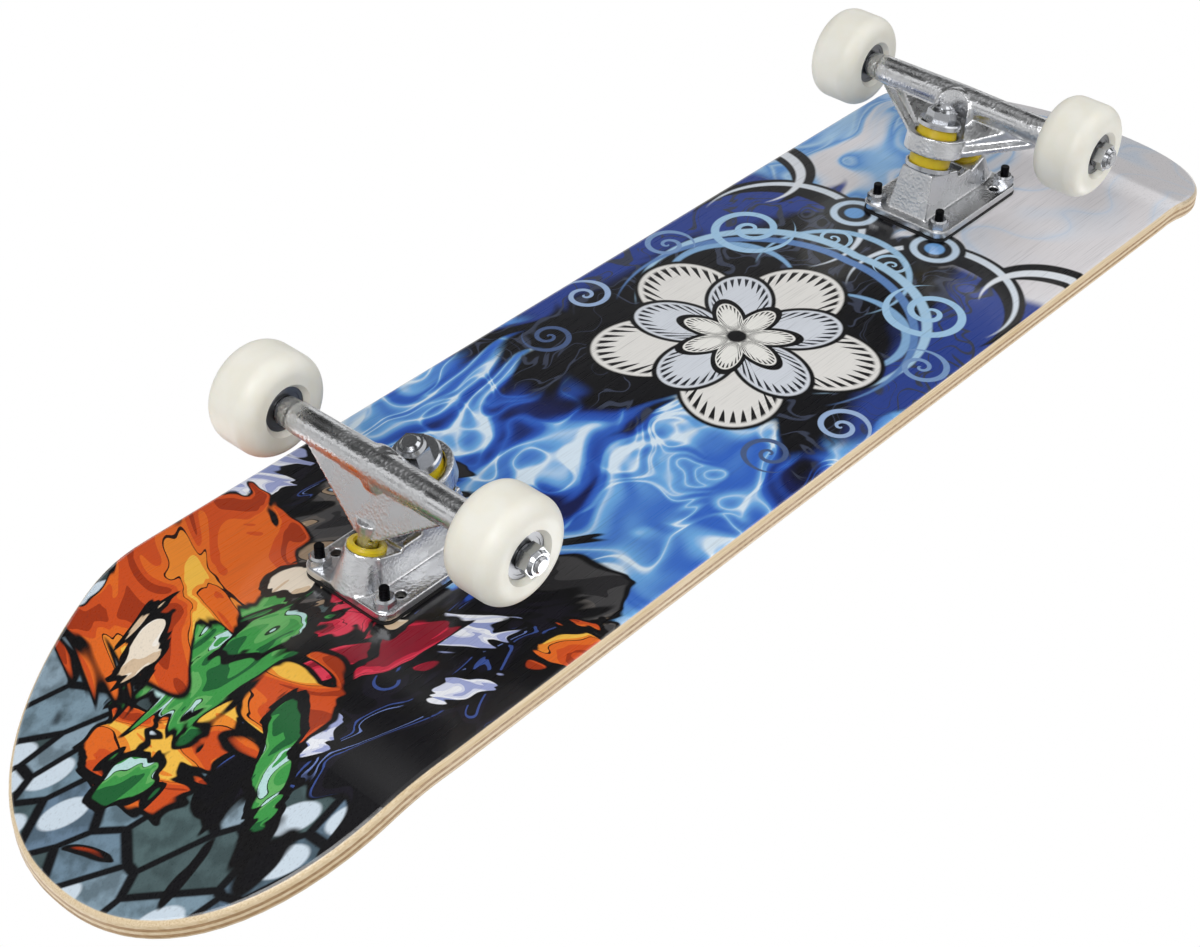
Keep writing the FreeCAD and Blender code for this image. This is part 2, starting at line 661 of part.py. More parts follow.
def hanger(prefix):
    """Cast hanger: axle bar, ring round the kingpin, flared webs, pivot nose and nut recess."""
    name = prefix + "hanger"
    bar_radius, end_radius = s.bar_dia / 2, s.bar_end_dia / 2
    bar_shoulder = 0.5
    collar = 7.0
    arm = s.hanger_half - collar
    turned_out = place(axis=Vector(0, 0, 1), angle=-90)
    upright = place(axis=Vector(1, 0, 0), angle=90)
    # the outer web rises from beside the pivot to the axle
    root_x, root_z = s.pivot_offset - 2.6, s.pivot_height + 8.6
    run, rise = s.axle_offset - root_x, s.axle_height - 0.3 - root_z
    web_lean = math.degrees(math.atan2(run, rise))
    web_at = place(root_x, 0, root_z) * place(axis=Vector(0, 1, 0), angle=web_lean) * upright
    web_half = s.hanger_half - 9.5
    block_half, rib_half = s.hanger_half - 14.5, s.hanger_half - 7.5
    # the block and the rib run from the ring to the axle bar
    ring_low, bar_low = s.ring_height - 4.4, s.axle_height - 8
    skirt = 5.0
    neck = ball_radius - 0.7
    pieces = [cylinder(name + "_bar_ends", end_radius, s.hanger_half * 2, on_axle(1, -s.hanger_half))]
    for side, word in ((1, "a"), (-1, "b")):
        pieces.append(cone(f"{name}_bar_{word}", bar_radius, end_radius + bar_shoulder, arm,
                           on_axle(side, 0)))
    pieces += [
        wedge(name + "_outer_web", (-3.4, 3.4, -6.2, 6.2), (-3.6, 3.6, -web_half, web_half),
              (0.0, math.hypot(run, rise)), web_at),
        wedge(name + "_inner_block", (1.5 - ring_radius, ring_radius - 1.5, ring_low, ring_low + 7),
              (-block_half, block_half, bar_low, bar_low + 9.5), (s.ring_offset + 5, s.axle_offset),
              turned_out),
        wedge(name + "_rib", (-ring_radius, ring_radius, ring_low - 0.2, ring_low + 3.2),
              (-rib_half, rib_half, bar_low - 1.4, bar_low + 1.8), (s.ring_offset + 1, s.axle_offset),
              turned_out),
        wedge(name + "_keel", (-8, 8, ring_low, ring_low + 6),
              (-5.6, 5.6, s.pivot_height + 9.5, s.ring_height), (s.ring_offset + 8, s.pivot_offset - 4),
              turned_out),
        cylinder(name + "_ring", ring_radius, s.ring_rim_height + skirt, on_kingpin(-skirt)),
        sphere(name + "_dome", 12.4, place(s.axle_offset - 4.5, 0, s.axle_height - 4)),
        sphere(name + "_pivot_ball", ball_radius, on_pivot(0.0)),
        cylinder(name + "_pivot_neck", neck, 12.0, on_pivot(0.0)),
        cone(name + "_pivot_root", neck, neck + 2.1, 8.0, on_pivot(7.6)),
    ]
    recess = nut_corner + 1.95
    recess_floor = nut_seat + 1.0
    sway = s.steering_room
    room_top = nut_seat + 2.8
    cutters = [
        cylinder(name + "_kingpin_hole", kingpin_radius + 1.735, 20.0, on_kingpin(-10.0)),
        cylinder(name + "_upper_cup", bushing_cavity, s.ring_rim_height, on_kingpin(seat_half)),
        cylinder(name + "_washer_room", bushing_cavity + 1.6, room_top - s.ring_rim_height,
                 on_kingpin(s.ring_rim_height)),
        cylinder(name + "_lower_cup", bushing_cavity, CLEAR, on_kingpin(-seat_half - CLEAR)),
        cylinder(name + "_lower_room", bushing_cavity + 2.0, CLEAR, on_kingpin(-skirt - CLEAR)),
        box(name + "_recess_middle", (recess * 2, sway * 2, CLEAR), (-recess, -sway, 0),
            on_kingpin(recess_floor)),
        cylinder(name + "_recess_a", recess, CLEAR, on_kingpin(recess_floor) * place(y=sway)),
        cylinder(name + "_recess_b", recess, CLEAR, on_kingpin(recess_floor) * place(y=-sway)),
        cylinder(name + "_axle_bore", s.axle_dia / 2 + s.slip, s.hanger_half * 2 + CLEAR,
                 on_axle(1, -s.hanger_half - CLEAR / 2)),
    ]
    return cut(name, fuse(name + "_cast", pieces), cutters)


bearing_pair = s.bearing_width * 2 + s.bearing_gap
bearing_face = s.hanger_half + s.speed_washer_thickness
nut_face = bearing_face + bearing_pair + s.speed_washer_thickness
# the races sit either side of the circle that the ball centres run on
ball_circle = (bearing_bore + s.bearing_dia) / 4
inner_shoulder = ball_circle - 1.5
outer_shoulder = ball_circle + 1.6
inner_groove = ball_circle - s.ball_dia / 2 - s.ball_play
outer_groove = ball_circle + s.ball_dia / 2 + s.ball_play
groove_half, groove_floor_half = s.ball_dia * 0.45, s.ball_dia * 0.225


def axle(prefix):
    past_nut, ease = 1.4, 1.0
    half = nut_face + s.axle_nut_height + past_nut
    radius = s.axle_dia / 2
    return turned(prefix + "axle", [(0.0, -half), (radius - ease, -half), (radius, ease - half),
                                    (radius, half - ease), (radius - ease, half), (0.0, half)], on_axle(1, 0))


def axle_nuts(prefix):
    nuts = [hex_nut(f"{prefix}axle_nut_{number}", s.axle_nut_across, s.axle_nut_height,
                    s.axle_dia / 2 + s.slip, on_axle(side, nut_face))
            for number, side in enumerate((1, -1), start=1)]
    return group(prefix + "axle_nuts", nuts)


def ring(name, inner, outer, width, at):
    return turned(name, [(inner, 0.0), (outer, 0.0), (outer, width), (inner, width)], at)


def speed_washers(prefix):
    spots = [(side, reach) for side in (1, -1) for reach in (s.hanger_half, bearing_face + bearing_pair)]
    washers = [ring(f"{prefix}speed_washer_{number}", s.axle_dia / 2 + s.slip, inner_shoulder - 0.1,
                    s.speed_washer_thickness, on_axle(side, reach))
               for number, (side, reach) in enumerate(spots, start=1)]
    return group(prefix + "speed_washers", washers)


def spacers(prefix):
    bore = bearing_bore / 2
    wall = 1.2
    middle = bearing_face + s.bearing_width
    pieces = [ring(f"{prefix}spacer_{number}", bore + s.slip, bore + wall, s.bearing_gap,
                   on_axle(side, middle))
              for number, side in enumerate((1, -1), start=1)]
    return group(prefix + "bearing_spacers", pieces)


def bearing_inner_rings(prefix):
    """The four inner races, which stay still on the axle."""
    bore, width = bearing_bore / 2, s.bearing_width
    middle = width / 2
    profile = [(bore, 0.0), (inner_shoulder, 0.0), (inner_shoulder, middle - groove_half),
               (inner_groove, middle - groove_floor_half), (inner_groove, middle + groove_floor_half),
               (inner_shoulder, middle + groove_half), (inner_shoulder, width), (bore, width)]
    reaches = (bearing_face, bearing_face + width + s.bearing_gap)
    spots = [(side, reach) for side in (1, -1) for reach in reaches]
    races = [turned(f"{prefix}inner_race_{number}", profile, on_axle(side, reach))
             for number, (side, reach) in enumerate(spots, start=1)]
    return group(prefix + "bearing_inner_rings", races)


def mounting_bolts(prefix):
    """Four countersunk bolts, heads at the grip tape, ends past their nuts."""
    head_radius, shank = s.bolt_head_dia / 2, s.bolt_dia / 2
    top = s.running_gap - deck_thickness - s.grip_thickness
    flare = head_radius - shank
    nut_top = plate_top + s.bolt_nut_height
    bolts = []
    for number, (x, y) in enumerate(plate_corners(), start=1):
        name = f"{prefix}mounting_bolt_{number}"
        head = cone(name + "_head", head_radius, shank, flare, place(z=top))
        stem = cylinder(name + "_stem", shank, nut_top - top, place(z=top))
        end = cylinder(name + "_end", shank - s.thread_relief, s.bolt_end, place(z=nut_top))
        solid = fuse(name + "_solid", [head, stem, end])
        bolt = cut(name, solid, [hexagon(name + "_socket", 3.2, 1.8, place(z=top - 0.1))])
        bolt.Placement = place(x, y)
        bolts.append(bolt)
    return group(prefix + "mounting_bolts", bolts)


def plate_corners():
    return [(x * s.bolt_spacing_x / 2, y * s.bolt_spacing_y / 2) for x in (1, -1) for y in (1, -1)]


def mounting_nuts(prefix):
    nuts = [hex_nut(f"{prefix}mounting_nut_{number}", s.bolt_nut_across, s.bolt_nut_height,
                    s.bolt_dia / 2 + s.slip, place(x, y, plate_top))
            for number, (x, y) in enumerate(plate_corners(), start=1)]
    return group(prefix + "mounting_nuts", nuts)


def make_truck(end):
    prefix = end + "_"
    flip = place(axis=Vector(1, 0, 0), angle=180)
    pieces = {
        "riser_pad": riser_pad(prefix),
        "baseplate": baseplate(prefix),
        "pivot_cup": pivot_cup(prefix),
        "kingpin": kingpin(prefix),
        "kingpin_nut": kingpin_nut(prefix),
        "lower_washer": cup_washer(prefix + "lower_washer", lower_washer_radius, on_kingpin(lower_seat)),
        "lower_bushing": bushing(prefix + "lower_bushing", s.lower_bushing_height, bushing_radius,
                                 bushing_radius, on_kingpin(lower_seat + s.cup_washer_thickness)),
        "upper_bushing": bushing(prefix + "upper_bushing", s.upper_bushing_height, bushing_radius,
                                 bushing_top_radius, on_kingpin(seat_half)),
        "upper_washer": cup_washer(prefix + "upper_washer", upper_washer_radius, on_kingpin(nut_seat) * flip),
        "hanger": hanger(prefix),
        "axle": axle(prefix),
        "axle_nuts": axle_nuts(prefix),
        "speed_washers": speed_washers(prefix),
        "bearing_inner_rings": bearing_inner_rings(prefix),
        "bearing_spacers": spacers(prefix),
        "mounting_bolts": mounting_bolts(prefix),
        "mounting_nuts": mounting_nuts(prefix),
    }
    for piece in pieces.values():
        piece.Placement = TRUCKS[end] * piece.Placement
    return {prefix + name: piece for name, piece in pieces.items()}


# ---------------------------------------------------------------- wheels

def tyre(name):
    """The urethane wheel with a bearing seat on each side of its middle web."""
    bore = s.bearing_dia / 2 + s.slip
    low, high = (bearing_pair - s.wheel_width) / 2, (bearing_pair + s.wheel_width) / 2
    radius = s.wheel_dia / 2
    shoulder = outer_shoulder + 0.5
    seat = s.bearing_width
    lip = 0.4
    mouth = bore + 2.0
    body = turned(name, [(shoulder, seat), (bore, seat), (bore, -lip), (mouth, low), (radius, low),
                         (radius, high), (mouth, high), (bore, bearing_pair + lip),
                         (bore, bearing_pair - seat), (shoulder, bearing_pair - seat)])
    lip_radius = s.wheel_lip if s.wheel_lip < radius - mouth else (radius - mouth) * 0.9
    rounded(body, name + "_lips", lip_radius, lambda edge: is_ring(edge, radius))
    return body


def outer_rings(name):
    outer, width = s.bearing_dia / 2, s.bearing_width
    middle = width / 2
    profile = [(outer, 0.0), (outer, width), (outer_shoulder, width), (outer_shoulder, middle + groove_half),
               (outer_groove, middle + groove_floor_half), (outer_groove, middle - groove_floor_half),
               (outer_shoulder, middle - groove_half), (outer_shoulder, 0.0)]
    return group(name, [turned(f"{name}_{number}", profile, place(z=number * (width + s.bearing_gap)))
                        for number in (0, 1)])


def shields(name):
    thin, inset = 0.4, 0.25
    spots = [base + face for base in (0.0, s.bearing_width + s.bearing_gap)
             for face in (inset, s.bearing_width - inset - thin)]
    return group(name, [ring(f"{name}_{number}", inner_shoulder + 0.4, outer_shoulder - s.slip, thin,
                             place(z=spot)) for number, spot in enumerate(spots, start=1)])


def balls(name):
    pieces = []
    for base in (s.bearing_width / 2, s.bearing_width * 1.5 + s.bearing_gap):
        for number in range(BALLS):
            turn = 2 * math.pi * number / BALLS
            at = place(ball_circle * math.cos(turn), ball_circle * math.sin(turn), base)
            pieces.append(sphere(f"{name}_{len(pieces) + 1}", s.ball_dia / 2, at))
    return group(name, pieces)


def make_wheel(end, side):
    left = 1 if end == "rear" else -1
    prefix = f"{end}_{'left' if side == left else 'right'}_"
    at = TRUCKS[end] * on_axle(side, bearing_face)
    pieces = {
        "wheel": tyre(prefix + "wheel"),
        "bearing_outer_rings": outer_rings(prefix + "bearing_outer_rings"),
        "bearing_shields": shields(prefix + "bearing_shields"),
        "bearing_balls": balls(prefix + "bearing_balls"),
    }
    for piece in pieces.values():
        piece.Placement = at
    return {prefix + name: piece for name, piece in pieces.items()}


# ---------------------------------------------------------------- build and write

nodes = make_deck()
for truck_end in TRUCKS:
    nodes.update(make_truck(truck_end))
    for wheel_side in (1, -1):
        nodes.update(make_wheel(truck_end, wheel_side))
doc.recompute()

for obj in doc.Objects:
    if "Invalid" in obj.State or "Error" in obj.State:
        raise RuntimeError(f"{obj.Name} failed: {obj.State}")
for name, obj in nodes.items():
    obj.Label = name
    if obj.Shape.isNull() or not obj.Shape.isValid() or not obj.Shape.Solids:
        raise RuntimeError(f"{name} has no valid solid")

os.makedirs("parts", exist_ok=True)
for name, obj in nodes.items():
    obj.Shape.exportStep(f"parts/{name}.step")
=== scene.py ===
import json
import math

import bmesh
import bpy
from mathutils import Euler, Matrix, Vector


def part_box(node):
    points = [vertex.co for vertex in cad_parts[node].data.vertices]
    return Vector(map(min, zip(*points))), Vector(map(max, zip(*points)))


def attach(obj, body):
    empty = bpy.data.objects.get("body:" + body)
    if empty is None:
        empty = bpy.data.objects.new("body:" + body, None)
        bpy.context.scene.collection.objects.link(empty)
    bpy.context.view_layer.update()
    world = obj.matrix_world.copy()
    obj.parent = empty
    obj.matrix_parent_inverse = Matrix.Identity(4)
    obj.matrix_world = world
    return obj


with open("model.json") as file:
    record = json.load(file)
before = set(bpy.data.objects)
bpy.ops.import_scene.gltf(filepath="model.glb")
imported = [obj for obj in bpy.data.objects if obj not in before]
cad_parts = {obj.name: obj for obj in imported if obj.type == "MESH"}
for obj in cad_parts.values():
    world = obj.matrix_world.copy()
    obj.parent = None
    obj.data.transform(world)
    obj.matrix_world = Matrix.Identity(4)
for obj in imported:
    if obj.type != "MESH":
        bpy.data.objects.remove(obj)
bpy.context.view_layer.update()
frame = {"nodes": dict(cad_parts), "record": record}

MM = 0.001
MATH = "ShaderNodeMath"
SMOOTH = {"interpolation_type": "SMOOTHSTEP"}
FLAT_NOISE = {"noise_dimensions": "2D"}


# ---------------------------------------------------------------- small helpers

def linear(hex_colour):
    """sRGB hex to the linear colour that a shader socket takes."""
    parts = [int(hex_colour[i:i + 2], 16) / 255 for i in (1, 3, 5)]
    return (*(c / 12.92 if c <= 0.04045 else ((c + 0.055) / 1.055) ** 2.4 for c in parts), 1.0)


def add(tree, kind, inputs=None, **settings):
    """Put a node in a tree with its settings, and set or link its sockets."""
    made = tree.nodes.new(kind)
    for name, value in settings.items():
        setattr(made, name, value)
    for socket, value in (inputs or {}).items():
        if isinstance(value, bpy.types.NodeSocket):
            tree.links.new(value, made.inputs[socket])
        else:
            made.inputs[socket].default_value = value
    return made


def blank_material(name):
    """A node material with nothing in it but its output and shader."""
    material = bpy.data.materials.new(name)
    material.use_nodes = True
    tree = material.node_tree
    tree.nodes.clear()
    output = add(tree, "ShaderNodeOutputMaterial")
    shader = add(tree, "ShaderNodeBsdfPrincipled")
    tree.links.new(shader.outputs["BSDF"], output.inputs["Surface"])
    return material, tree, shader


def set_stops(ramp_node, stops):
    """Give a colour ramp its (position, hex colour) stops."""
    ramp = ramp_node.color_ramp
    while len(ramp.elements) > 1:
        ramp.elements.remove(ramp.elements[-1])
    ramp.elements[0].position, ramp.elements[0].color = stops[0][0], linear(stops[0][1])
    for position, colour in stops[1:]:
        ramp.elements.new(position).color = linear(colour)


# ---------------------------------------------------------------- camera, light and floor

camera_data = bpy.data.cameras.new("camera")
camera_data.lens = 65.32
camera_data.sensor_width = 36.0
camera_data.clip_start = 0.05
camera = bpy.data.objects.new("camera", camera_data)
camera.location = (0.70419, -0.55317, -0.55660)
camera.rotation_euler = Euler([math.radians(a) for a in (-128.6667, 0.5604, -131.8413)])
bpy.context.scene.collection.objects.link(camera)
bpy.context.scene.camera = camera
bpy.context.scene.view_settings.view_transform = "Standard"

LAMPS = [
    # name, place, aims at, width, height, watts
    ("under_key", (1.5, -0.5, -1.5), (0.0, 0.0, 0.08), 1.4, 1.0, 24.0),
    ("under_fill", (-1.0, -1.2, -1.4), (0.0, 0.0, 0.08), 1.8, 1.2, 12.0),
    ("over_key", (-1.0, -1.2, 1.7), (0.0, 0.0, 0.08), 1.6, 1.0, 18.0),
    ("over_fill", (1.2, 1.1, 1.5), (0.0, 0.0, 0.08), 1.8, 1.2, 12.0),
]
for name, place, target, width, height, watts in LAMPS:
    data = bpy.data.lights.new(name, "AREA")
    data.shape, data.size, data.size_y, data.energy = "RECTANGLE", width, height, watts
    lamp = bpy.data.objects.new(name, data)
    lamp.location = place
    lamp.rotation_euler = (Vector(target) - Vector(place)).to_track_quat("-Z", "Y").to_euler()
    bpy.context.scene.collection.objects.link(lamp)

world = bpy.data.worlds.new("studio")
bpy.context.scene.world = world
world.use_nodes = True
tree = world.node_tree
tree.nodes.clear()
FILL_LIGHT = 0.45   # strength of the even light that falls on the board from all round
BAND_SWAY = 0.30    # how far noise moves the bands up and down; the world is 2 high on this scale
NOSE_DROP = 0.60    # how much lower they hang straight ahead of the nose
rays = add(tree, "ShaderNodeLightPath")
seen = add(tree, MATH, {0: rays.outputs["Is Camera Ray"], 1: rays.outputs["Is Glossy Ray"]},
           operation="MAXIMUM")
seen = add(tree, MATH, {0: seen.outputs[0], 1: rays.outputs["Is Transmission Ray"]},
           operation="MAXIMUM")
# Bright metal mirrors soft boxes with dark flags between them, as bands of height round the board.
# The bands hang lower ahead of the nose, so the trucks turn a soft box to the camera.
way = add(tree, "ShaderNodeTexCoord").outputs["Generated"]
drift = add(tree, "ShaderNodeTexNoise", {"Vector": way, "Scale": 1.1, "Detail": 0.0}).outputs[0]
ahead = add(tree, "ShaderNodeVectorMath", {0: way, 1: (0.97, -0.24, 0.0)},
            operation="DOT_PRODUCT").outputs["Value"]
ahead = add(tree, MATH, {0: ahead, 1: 0.0}, operation="MAXIMUM").outputs[0]
height = add(tree, "ShaderNodeSeparateXYZ", {0: way}).outputs[2]
height = add(tree, MATH, {0: ahead, 1: NOSE_DROP, 2: height}, operation="MULTIPLY_ADD").outputs[0]
height = add(tree, MATH, {0: drift, 1: BAND_SWAY, 2: height}, operation="MULTIPLY_ADD").outputs[0]
height = add(tree, "ShaderNodeMapRange", {"Value": height, "From Min": -0.85, "From Max": 1.15})
bands = add(tree, "ShaderNodeValToRGB", {"Fac": height.outputs[0]})
set_stops(bands, [(0.00, "#DCDCDC"), (0.08, "#CDCDCD"), (0.13, "#343434"), (0.30, "#303030"),
                  (0.34, "#FFFFFF"), (0.51, "#F4F4F4"), (0.55, "#6A6A6A"), (0.59, "#3A3A3A"),
                  (0.65, "#F4F4F4"), (0.74, "#FFFFFF"), (0.79, "#8C8C8C"), (0.84, "#E6E6E6"),
                  (0.92, "#8A8A8A")])
studio = add(tree, "ShaderNodeMix", {0: rays.outputs["Is Glossy Ray"], 6: linear("#FFFFFF"),
                                     7: bands.outputs["Color"]}, data_type="RGBA").outputs[2]
fill = add(tree, "ShaderNodeBackground", {"Color": linear("#FFFFFF"), "Strength": FILL_LIGHT})
backdrop = add(tree, "ShaderNodeBackground", {"Color": studio, "Strength": 1.0})
lit = add(tree, "ShaderNodeMixShader", {0: seen.outputs[0], 1: fill.outputs[0],
                                        2: backdrop.outputs[0]})
add(tree, "ShaderNodeOutputWorld", {"Surface": lit.outputs[0]})

# The board is seen from below as well as from above, so the floor shows only its upper side.
FLOOR_REACH = 14.0  # metres from the middle to each side
corners = [(-1, -1), (1, -1), (1, 1), (-1, 1)]
floor_mesh = bpy.data.meshes.new("floor")
floor_mesh.from_pydata([(x * FLOOR_REACH, y * FLOOR_REACH, 0.0) for x, y in corners], [],
                       [(0, 1, 2, 3)])
floor = bpy.data.objects.new("floor", floor_mesh)
bpy.context.scene.collection.objects.link(floor)
material = bpy.data.materials.new("matt white floor")
material.use_nodes = True
tree = material.node_tree
tree.nodes.clear()
# It fades into the white behind it between 1 m and 5 m from the board, so no horizon shows.
where = add(tree, "ShaderNodeTexCoord").outputs["Object"]
away = add(tree, "ShaderNodeVectorMath", {0: where}, operation="LENGTH").outputs["Value"]
fade = add(tree, "ShaderNodeMapRange", {"Value": away, "From Min": 1.0, "From Max": 5.0,
                                        "To Min": 0.42}, **SMOOTH)
paint = add(tree, "ShaderNodeBsdfDiffuse", {"Color": linear("#E9E9E9")})
camera_ray = add(tree, "ShaderNodeLightPath").outputs["Is Camera Ray"]
white = add(tree, "ShaderNodeEmission", {"Color": linear("#FFFFFF"), "Strength": camera_ray})
upper = add(tree, "ShaderNodeMixShader", {0: fade.outputs[0], 1: paint.outputs[0],
                                          2: white.outputs[0]})
under = add(tree, "ShaderNodeBsdfTransparent")
facing = add(tree, "ShaderNodeNewGeometry")
sided = add(tree, "ShaderNodeMixShader", {0: facing.outputs["Backfacing"], 1: upper.outputs[0],
                                          2: under.outputs[0]})
add(tree, "ShaderNodeOutputMaterial", {"Surface": sided.outputs[0]})
floor_mesh.materials.append(material)
floor.visible_diffuse = False
floor.visible_glossy = False
floor.visible_transmission = False
floor.visible_shadow = False

# ---------------------------------------------------------------- finishes


def finish(tree, shader, colour, roughness, normal):
    """Link a finish's colour, roughness and bump to its shader."""
    for socket, value in (("Base Color", colour), ("Roughness", roughness), ("Normal", normal)):
        if isinstance(value, bpy.types.NodeSocket):
            tree.links.new(value, shader.inputs[socket])
        else:
            shader.inputs[socket].default_value = value


def metal(name, colour, roughness, grain_mm, depth, mottle=0.06):
    """A metal whose roughness and surface vary with a grain of the given size."""
    material, tree, shader = blank_material(name)
    where = add(tree, "ShaderNodeTexCoord").outputs["Object"]
    grain = add(tree, "ShaderNodeTexNoise", {"Vector": where, "Scale": 1 / (grain_mm * MM),
                                             "Detail": 3.0}).outputs[0]
    cloud = add(tree, "ShaderNodeTexNoise", {"Vector": where, "Scale": 1 / (11.0 * MM),
                                             "Detail": 4.0}).outputs[0]
    rough = add(tree, "ShaderNodeMapRange", {"Value": cloud, "From Min": 0.3, "From Max": 0.7,
                                             "To Min": roughness - mottle,
                                             "To Max": roughness + mottle}).outputs[0]
    bump = add(tree, "ShaderNodeBump", {"Height": grain, "Strength": depth, "Distance": 0.4 * MM})
    finish(tree, shader, linear(colour), rough, bump.outputs[0])
    shader.inputs["Metallic"].default_value = 1.0
    return material


def tumbled(name, colour):
    """Cast metal tumbled bright: patches of shallow dimples 1.5 mm wide, over a 0.5 mm grain."""
    material, tree, shader = blank_material(name)
    where = add(tree, "ShaderNodeTexCoord").outputs["Object"]
    dimples = add(tree, "ShaderNodeTexVoronoi", {"Vector": where, "Scale": 1 / (1.5 * MM),
                                                 "Smoothness": 0.4},
                  feature="SMOOTH_F1").outputs["Distance"]
    grain = add(tree, "ShaderNodeTexNoise", {"Vector": where, "Scale": 1 / (0.5 * MM),
                                             "Detail": 1.0}).outputs[0]
    cloud = add(tree, "ShaderNodeTexNoise", {"Vector": where, "Scale": 1 / (14.0 * MM),
                                             "Detail": 3.0}).outputs[0]
    patchy = add(tree, "ShaderNodeMapRange", {"Value": cloud, "From Min": 0.38, "From Max": 0.62,
                                              "To Min": 0.15, "To Max": 1.0}).outputs[0]
    height = add(tree, MATH, {0: dimples, 1: patchy}, operation="MULTIPLY").outputs[0]
    height = add(tree, MATH, {0: grain, 1: 0.22, 2: height}, operation="MULTIPLY_ADD").outputs[0]
    bump = add(tree, "ShaderNodeBump", {"Height": height, "Strength": 0.75, "Distance": 0.3 * MM})
    rough = add(tree, "ShaderNodeMapRange", {"Value": cloud, "From Min": 0.35, "From Max": 0.65,
                                             "To Min": 0.20, "To Max": 0.38}).outputs[0]
    finish(tree, shader, linear(colour), rough, bump.outputs[0])
    shader.inputs["Metallic"].default_value = 1.0
    return material


def moulded(name, pale, deep, roughness, skin_mm, depth, glow=0.0, radius=(0.0, 0.0, 0.0)):
    """A moulded material: colour and gloss drift over a centimetre, and the mould leaves a skin."""
    material, tree, shader = blank_material(name)
    where = add(tree, "ShaderNodeTexCoord").outputs["Object"]
    cloud = add(tree, "ShaderNodeTexNoise", {"Vector": where, "Scale": 1 / (12.0 * MM),
                                             "Detail": 3.0}).outputs[0]
    skin = add(tree, "ShaderNodeTexNoise", {"Vector": where, "Scale": 1 / (skin_mm * MM),
                                            "Detail": 2.0}).outputs[0]
    drift = add(tree, "ShaderNodeMapRange", {"Value": cloud, "From Min": 0.35,
                                             "From Max": 0.65}).outputs[0]
    shade = add(tree, "ShaderNodeMix", {0: drift, 6: linear(pale), 7: linear(deep)},
                data_type="RGBA").outputs[2]
    rough = add(tree, "ShaderNodeMapRange", {"Value": drift, "To Min": roughness - 0.05,
                                             "To Max": roughness + 0.07}).outputs[0]
    bump = add(tree, "ShaderNodeBump", {"Height": skin, "Strength": depth, "Distance": 0.2 * MM})
    finish(tree, shader, shade, rough, bump.outputs[0])
    shader.inputs["Subsurface Weight"].default_value = glow
    shader.inputs["Subsurface Radius"].default_value = radius
    return material


def maple(name, light, dark, along):
    """Maple veneer: fibres 42 mm long and 2.8 mm wide that run along the board, or across it."""
    material, tree, shader = blank_material(name)
    where = add(tree, "ShaderNodeTexCoord").outputs["Object"]
    length, width, depth = 1 / (42.0 * MM), 1 / (2.8 * MM), 1 / (1.8 * MM)
    stretch = (length, width, depth) if along else (width, length, depth)
    mapped = add(tree, "ShaderNodeMapping", {"Vector": where, "Scale": stretch})
    fibre = add(tree, "ShaderNodeTexNoise", {"Vector": mapped.outputs[0], "Scale": 1.0,
                                             "Detail": 6.0, "Roughness": 0.65}).outputs[0]
    ramp = add(tree, "ShaderNodeValToRGB", {"Fac": fibre})
    set_stops(ramp, [(0.3, dark), (0.7, light)])
    rough = add(tree, "ShaderNodeMapRange", {"Value": fibre, "From Min": 0.3, "From Max": 0.7,
                                             "To Min": 0.60, "To Max": 0.44}).outputs[0]
    bump = add(tree, "ShaderNodeBump", {"Height": fibre, "Strength": 0.3, "Distance": 0.2 * MM})
    finish(tree, shader, ramp.outputs["Color"], rough, bump.outputs[0])
    return material


FINISHES = {
    # rounded and tumbled in stones after casting: broken highlights over a near-mirror
    "cast_aluminium": tumbled("tumbled cast aluminium", "#D3D4D6"),
    # plated fasteners: smooth, cool and bright, with soft streaks
    "zinc_steel": metal("bright zinc plated steel", "#BBBDC1", 0.21, 1.2, 0.08, mottle=0.04),
    # turned bar: fine tool marks dull the shine a little
    "axle_steel": metal("turned axle steel", "#B0B1B4", 0.25, 0.5, 0.12),
    # pressed shields and ground races: greyer than the plated parts, with a satin sheen
    "bearing_steel": metal("pressed and ground bearing steel", "#77787B", 0.36, 1.0, 0.03,
                           mottle=0.05),
    # oxide finish on the bolts: near black, with a dull metal glint
    "black_steel": metal("black oxide steel", "#17171A", 0.38, 0.5, 0.10),
    # cream wheels: satin from the mould, and light goes a few millimetres in
    "wheel_urethane": moulded("cast urethane wheel", "#F0EEE4", "#EDEADD", 0.41, 1.1, 0.12,
                              glow=0.15, radius=(0.004, 0.003, 0.002)),
    # clear yellow bushings: they glow at the edges where light passes through
    "amber_urethane": moulded("amber urethane", "#DCC41F", "#CFB214", 0.32, 0.9, 0.10,
                              glow=0.4, radius=(0.006, 0.004, 0.001)),
    # riser pads: soft black with a dusty bloom and no clear highlight
    "riser_rubber": moulded("black rubber riser", "#121213", "#1D1D1E", 0.60, 0.8, 0.30),
    # long-grain veneers: pale cream with brown streaks along the board
    "maple_long": maple("maple veneer along", "#EFDCBC", "#D6BB90", True),
    # cross-grain veneers: darker, since their fibre ends show at the rail
    "maple_cross": maple("maple veneer across", "#C3A077", "#97744B", False),
    # the top veneer, seen only as a thin line under the grip tape
    "maple_top": maple("maple top veneer", "#EAD5B2", "#CFB386", True),
}

